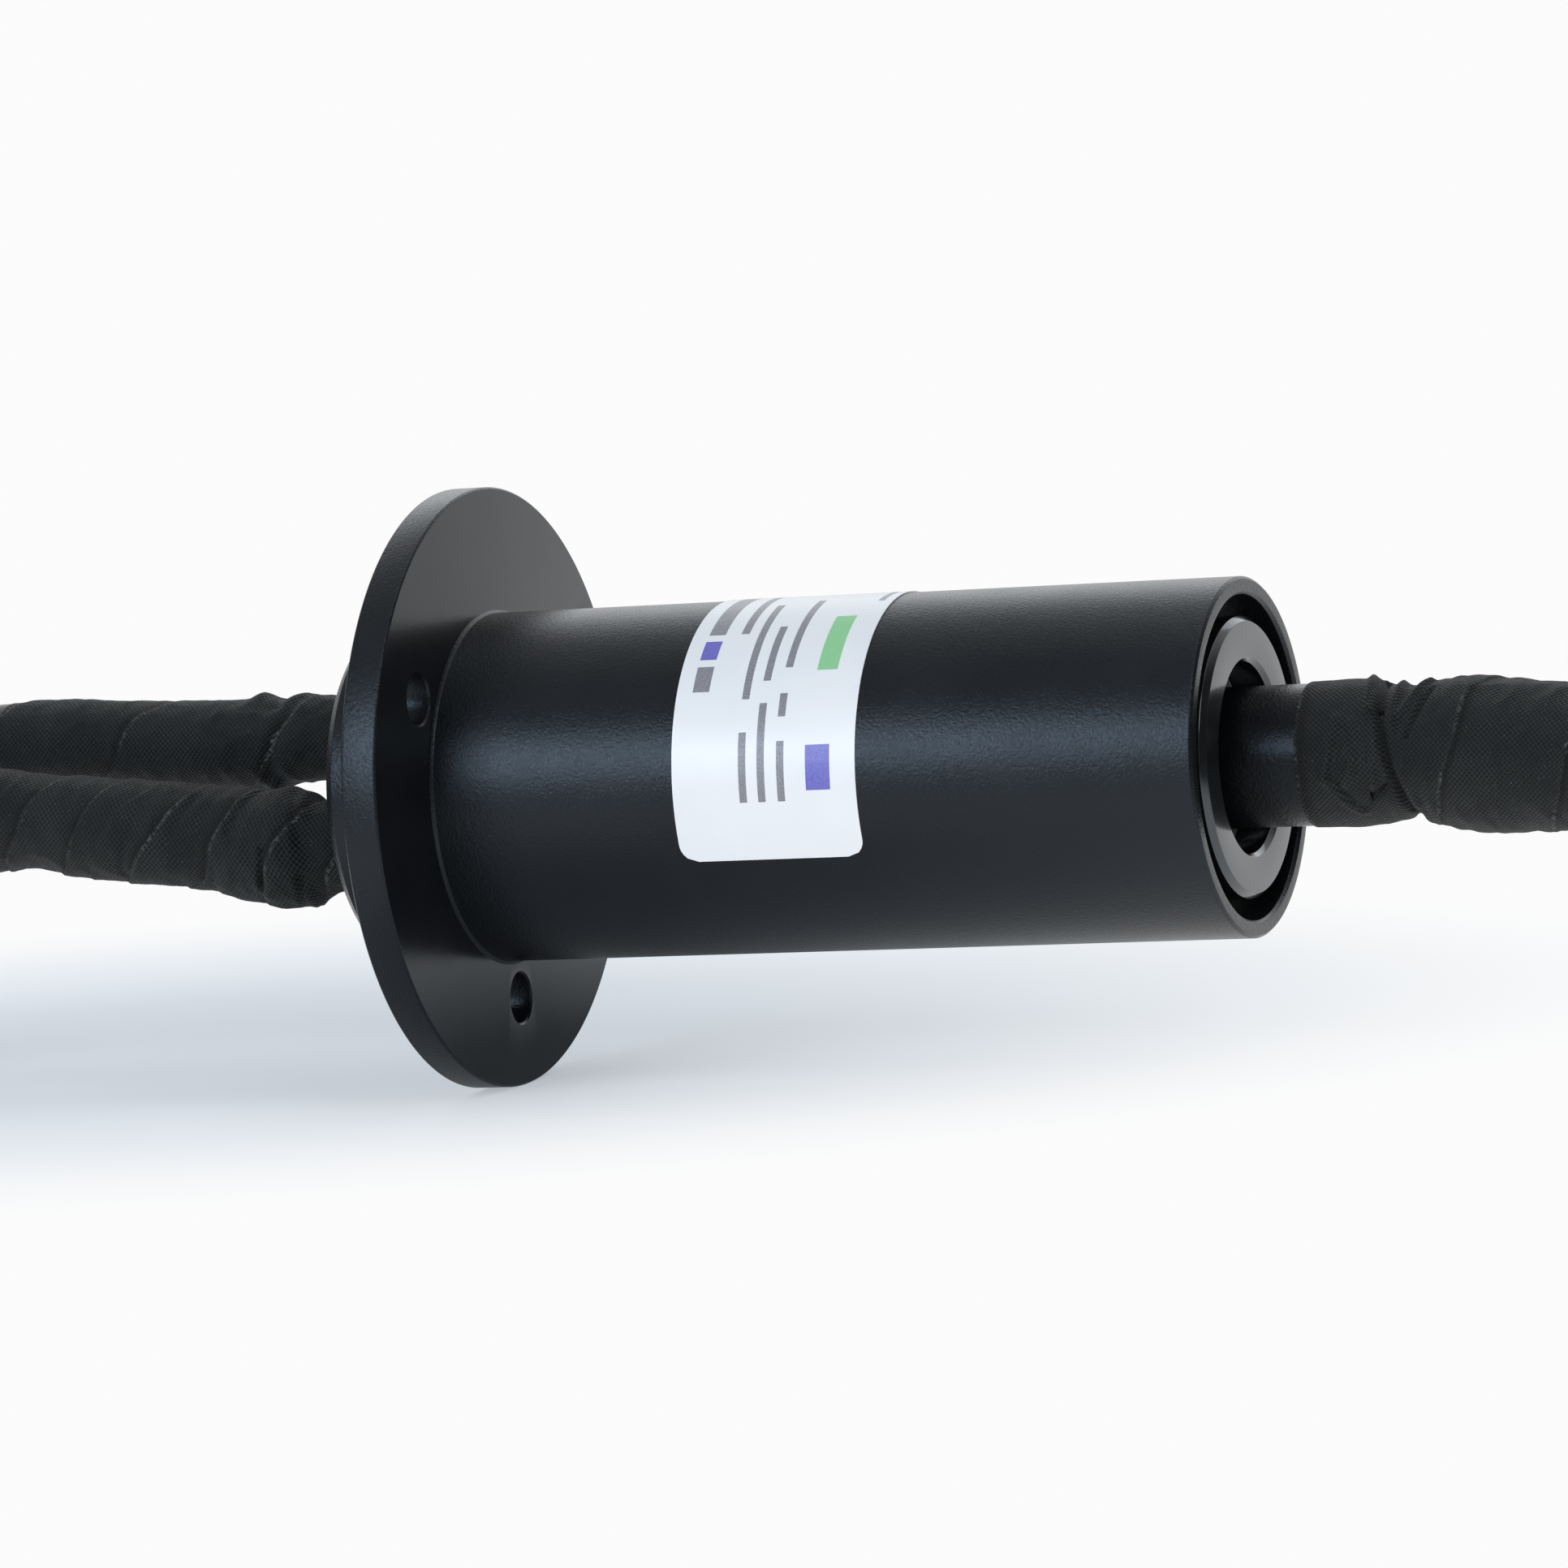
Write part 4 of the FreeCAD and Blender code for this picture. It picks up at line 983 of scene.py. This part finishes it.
def make_leads():
    make_lead(
        "near_lead", "stator", NEAR_ROUTE, diameter=11.0, wires=(19, 1.55), tape_end=66.0,
        step_down=0.35, seed=3.0,
        profile=[(0, 8.4), (5, 8.6), (8.4, 9.3), (10.4, 11.2), (12.7, 11.9), (17, 11.2),
                 (20.5, 10.1), (27.2, 10.5), (31.4, 10.6), (36.6, 10.2), (41.9, 9.8),
                 (46, 10.4), (60, 10.4), (75, 10.2)],
        shift=[(0, 0.0)],
        winding=(14.8, 1.0, [(19.9, 0.26), (26.8, 0.24), (16.5, 0.16)]),
        bumps=[(11.0, 60, 2.2, 40, 0.35), (12.0, -85, 2.6, 40, 0.35), (9.6, -95, 1.7, 55, 0.75),
               (16.0, -90, 1.6, 40, 0.3), (18.2, 92, 3.2, 40, 0.3), (22.5, 90, 5.5, 50, 0.6),
               (36.5, -85, 4.0, 45, 0.35), (49.0, -85, 4.0, 45, 0.5)],
        creases=[((13.2, 2), (13.7, -38), 0.35, -0.55), ((11.0, 75), (9.2, 10), 0.6, -0.3),
                 ((15.5, 80), (17.5, 20), 0.5, -0.3), ((22.5, 60), (24.5, 0), 0.5, -0.22),
                 ((9.4, -30), (10.6, -90), 0.5, -0.45), ((28.5, 30), (30.0, -50), 0.45, -0.2)])
    make_lead(
        "far_lead", "stator", FAR_ROUTE, diameter=8.8, wires=(14, 1.5), tape_end=50.2,
        step_down=0.12, seed=11.0,
        profile=[(0, 8.2), (8, 8.4), (12.5, 8.6), (16, 8.9), (19.4, 9.3), (23, 9.2),
                 (36.7, 9.1), (50.8, 9.0), (60, 8.6)],
        shift=[(14.0, 0.1), (20.0, -0.4), (50.0, -0.35), (58.0, 0.0)],
        winding=(17.5, 1.0, [(17.5, 0.10)]),
        bumps=[(20.2, 95, 1.4, 30, 0.75), (15.4, 90, 2.2, 45, 0.4)],
        creases=[((15.0, 75), (18.2, -45), 0.8, -0.45), ((18.0, -60), (19.5, -95), 0.7, 0.5),
                 ((17.6, 100), (17.4, 60), 0.6, -0.3)])
    make_lead(
        "rotor_lead", "rotor", ROTOR_ROUTE, diameter=15.0, wires=(33, 1.6), tape_end=26.0,
        step_down=0.12, seed=ROTOR_SEED,
        profile=[(0, 14.15), (1.6, 13.6), (3.2, 12.8), (5.0, 13.7), (6.6, 14.5), (8.2, 15.0),
                 (10.0, 15.2), (13.2, 15.05), (16.4, 14.5), (22, 14.2)],
        shift=[(3.0, 0.0), (8.0, -0.35), (12.0, -0.45), (17.0, -0.3), (24.0, 0.0)],
        winding=(12.5, -1.0, [(8.6, 0.16)]),
        bumps=[(1.3, 92, 1.3, 40, -0.3), (8.0, 40, 2.5, 40, 0.2)],
        creases=TUBE_FOLDS)


def make_tube_tape():
    """Tape over the tube's end, which the lead's own tape runs on from."""
    origin, far_end = 80, 100
    tape_radius, on_tube, past_tube = 7.2, 7.06 * MM, 5.5 * MM
    lap_pitch = 20
    line = Line([Vector((origin * MM, 0, 0)), Vector((far_end * MM, 0, 0))])

    def taped(s, angle):
        x = s / MM + origin
        reach = (eased(TUBE_TAPE_PROFILE, x) / 2 * MM
                 + wrinkles(s, angle, ROTOR_SEED, 4.0 * MM, 0.05 * MM))
        creased = folds(s - (TUBE_END - origin) * MM, angle, tape_radius, TUBE_FOLDS)
        least = on_tube if x < TUBE_END - 0.05 else past_tube
        lap = (x - TUBE_TAPE_PROFILE[0][0]) / lap_pitch
        return max(reach + creased, least), (lap, None)

    mesh = tube_mesh("tube_tape", line, 8.3 * MM, 16.2 * MM, taped, TAPE_STEP, count=220)
    link_mesh("tube_tape", mesh, "cloth_tape", "rotor", ["outlet_tape"])


def dress_nodes():
    """The same materials on the CAD nodes themselves."""
    for subpart in frame["record"]["subparts"]:
        if subpart["material_slot"] in MATERIALS:
            for holder in frame["nodes"][subpart["node"]].material_slots:
                holder.material = look_of(subpart["material_slot"])


def make_stage():
    """A white sweep: real shade near the object, a plain glow far from it, and painted shade where
    gloss sees it.
    """
    reach = 6.0
    corners = [(-reach, -reach), (reach, -reach), (reach, reach), (-reach, reach)]
    mesh = bpy.data.meshes.new("floor")
    mesh.from_pydata([(x, y, FLOOR_HEIGHT) for x, y in corners], [], [(0, 1, 2, 3)])
    floor = bpy.data.objects.new("floor", mesh)
    bpy.context.scene.collection.objects.link(floor)
    look = Surface("floor")
    look.set(Base_Color=look.mix(look.noise(60 * MM), (0.90, 0.92, 0.96), (0.93, 0.945, 0.97)),
             Roughness=0.6, Specular_IOR_Level=0.1)

    def away(x, y, wide, deep):
        """Distance on the floor from a point, where 1 is this far to the side or to the back."""
        scaled = look.node("Mapping", {"Vector": look.spot, "Scale": (1 / wide, 1 / deep, 0.0)})
        return look.node("VectorMath", {0: scaled, 1: (x / wide, y / deep, 0.0)}, out=1,
                         operation="DISTANCE")

    glossy = look.node("LightPath", out="Is Glossy Ray")
    x, y, _ = look.parts(look.spot)
    # The glow's share, which is least behind the flange and all that gloss sees.
    share = look.most(glossy, look.ramp(away(-0.055, 0.04, 0.18, 0.135), 0.15, 1.0, 0.28, 1.0))
    # Painted shade in gloss: the floor is dimmer under the barrel, at the front's right and far to
    # the left.
    under = look.ranged(away(0.005, 0.02, 0.07, 0.12), 0.15, 1.1, 0.2, 1.0)
    beside = look.times(look.ramp(y, 0.0, 0.12, 1.0, 0.0), look.ramp(x, 0.13, 0.30))
    right = look.math("MULTIPLY_ADD", beside, -0.9, 1.0)
    left = look.ramp(x, -0.35, -0.15, 0.4, 1.0)
    painted_gloss_shade = look.times(under, look.times(right, left))
    level = look.math("MULTIPLY_ADD", glossy, look.math("SUBTRACT", painted_gloss_shade, 1.0), 1.0)
    # The glow turns cool where its share or its level is low: a painted cool tint in the shade
    # near the object and in the painted gloss shade.
    glow = look.node("Emission", {
        "Color": look.mix(look.times(share, level), (0.80, 0.90, 1.0), WHITE[:3]),
        "Strength": look.times(level, WHITE_LEVEL)})
    blend = look.node("MixShader", {0: share, 1: look.shader.outputs[0], 2: glow})
    look.link(blend, look.output.inputs[0])
    mesh.materials.append(look.material)


def make_world():
    """White behind the object. Gloss sees it dimmer in front and at both sides, and diffuse
    light is an even cool fill."""
    world = bpy.data.worlds.new("studio")
    bpy.context.scene.world = world
    world.use_nodes = True
    tree = Tree(world.node_tree)
    rays = tree.add("LightPath").outputs
    x, y, z = tree.parts(tree.node("TexCoord", out="Generated"))
    # What gloss sees rises from front to back, less so high up, and falls at both sides.
    level = tree.node("Mix", {"Factor": tree.ramp(z, 0.2, 0.7),
                              "A": tree.ramp(y, -0.25, 0.35, 0.34, WHITE_LEVEL),
                              "B": tree.ramp(y, -0.25, 0.35, 0.42, 0.62)})
    level = tree.times(level, tree.ramp(x, 0.45, 0.8, 1.0, 0.12))
    level = tree.times(level, tree.ramp(x, -0.9, -0.6, 0.4, 1.0))
    shown = tree.node("Background", {"Color": WHITE, "Strength": WHITE_LEVEL})
    glossed = tree.node("Background", {"Color": WHITE, "Strength": level})
    fill = tree.node("Background", {"Color": (0.90, 0.95, 1.0, 1.0), "Strength": 0.36})
    mirrored = tree.most(rays["Is Glossy Ray"], rays["Is Transmission Ray"])
    lit = tree.node("MixShader", {0: mirrored, 1: fill, 2: glossed})
    seen = tree.node("MixShader", {0: rays["Is Camera Ray"], 1: lit, 2: shown})
    tree.add("OutputWorld", {0: seen})


def soft_lamp(name, place, size, level, color):
    """A rectangular soft box aimed at the object; level is its face's brightness, 1 for white."""
    aim = Vector((0.03, 0.0, 0.0))
    data = bpy.data.lights.new(name, "AREA")
    data.shape = "RECTANGLE"
    data.size, data.size_y = size
    data.energy = level * math.pi * size[0] * size[1]
    data.color = color
    lamp = bpy.data.objects.new(name, data)
    lamp.location = place
    lamp.rotation_euler = (aim - Vector(place)).to_track_quat("-Z", "Y").to_euler()
    bpy.context.scene.collection.objects.link(lamp)


def make_lamps():
    cool = (0.92, 0.96, 1.0)
    soft_lamp("band", (-0.33, -0.98, 0.39), (0.55, 0.26), 9.5, (0.70, 0.83, 1.0))
    soft_lamp("key", (0.75, -0.70, 0.70), (0.5, 0.5), 3.6, cool)
    soft_lamp("top", (0.25, 0.10, 1.15), (0.9, 0.5), 1.0, cool)
    soft_lamp("back", (-0.25, 1.1, 0.75), (1.8, 0.8), 1.0, cool)


make_camera()
make_leads()
make_tube_tape()
make_housing()
make_end_cap()
make_tube()
make_screws()
make_label()
dress_nodes()
make_stage()
make_world()
make_lamps()
bpy.context.scene.view_settings.view_transform = "Standard"
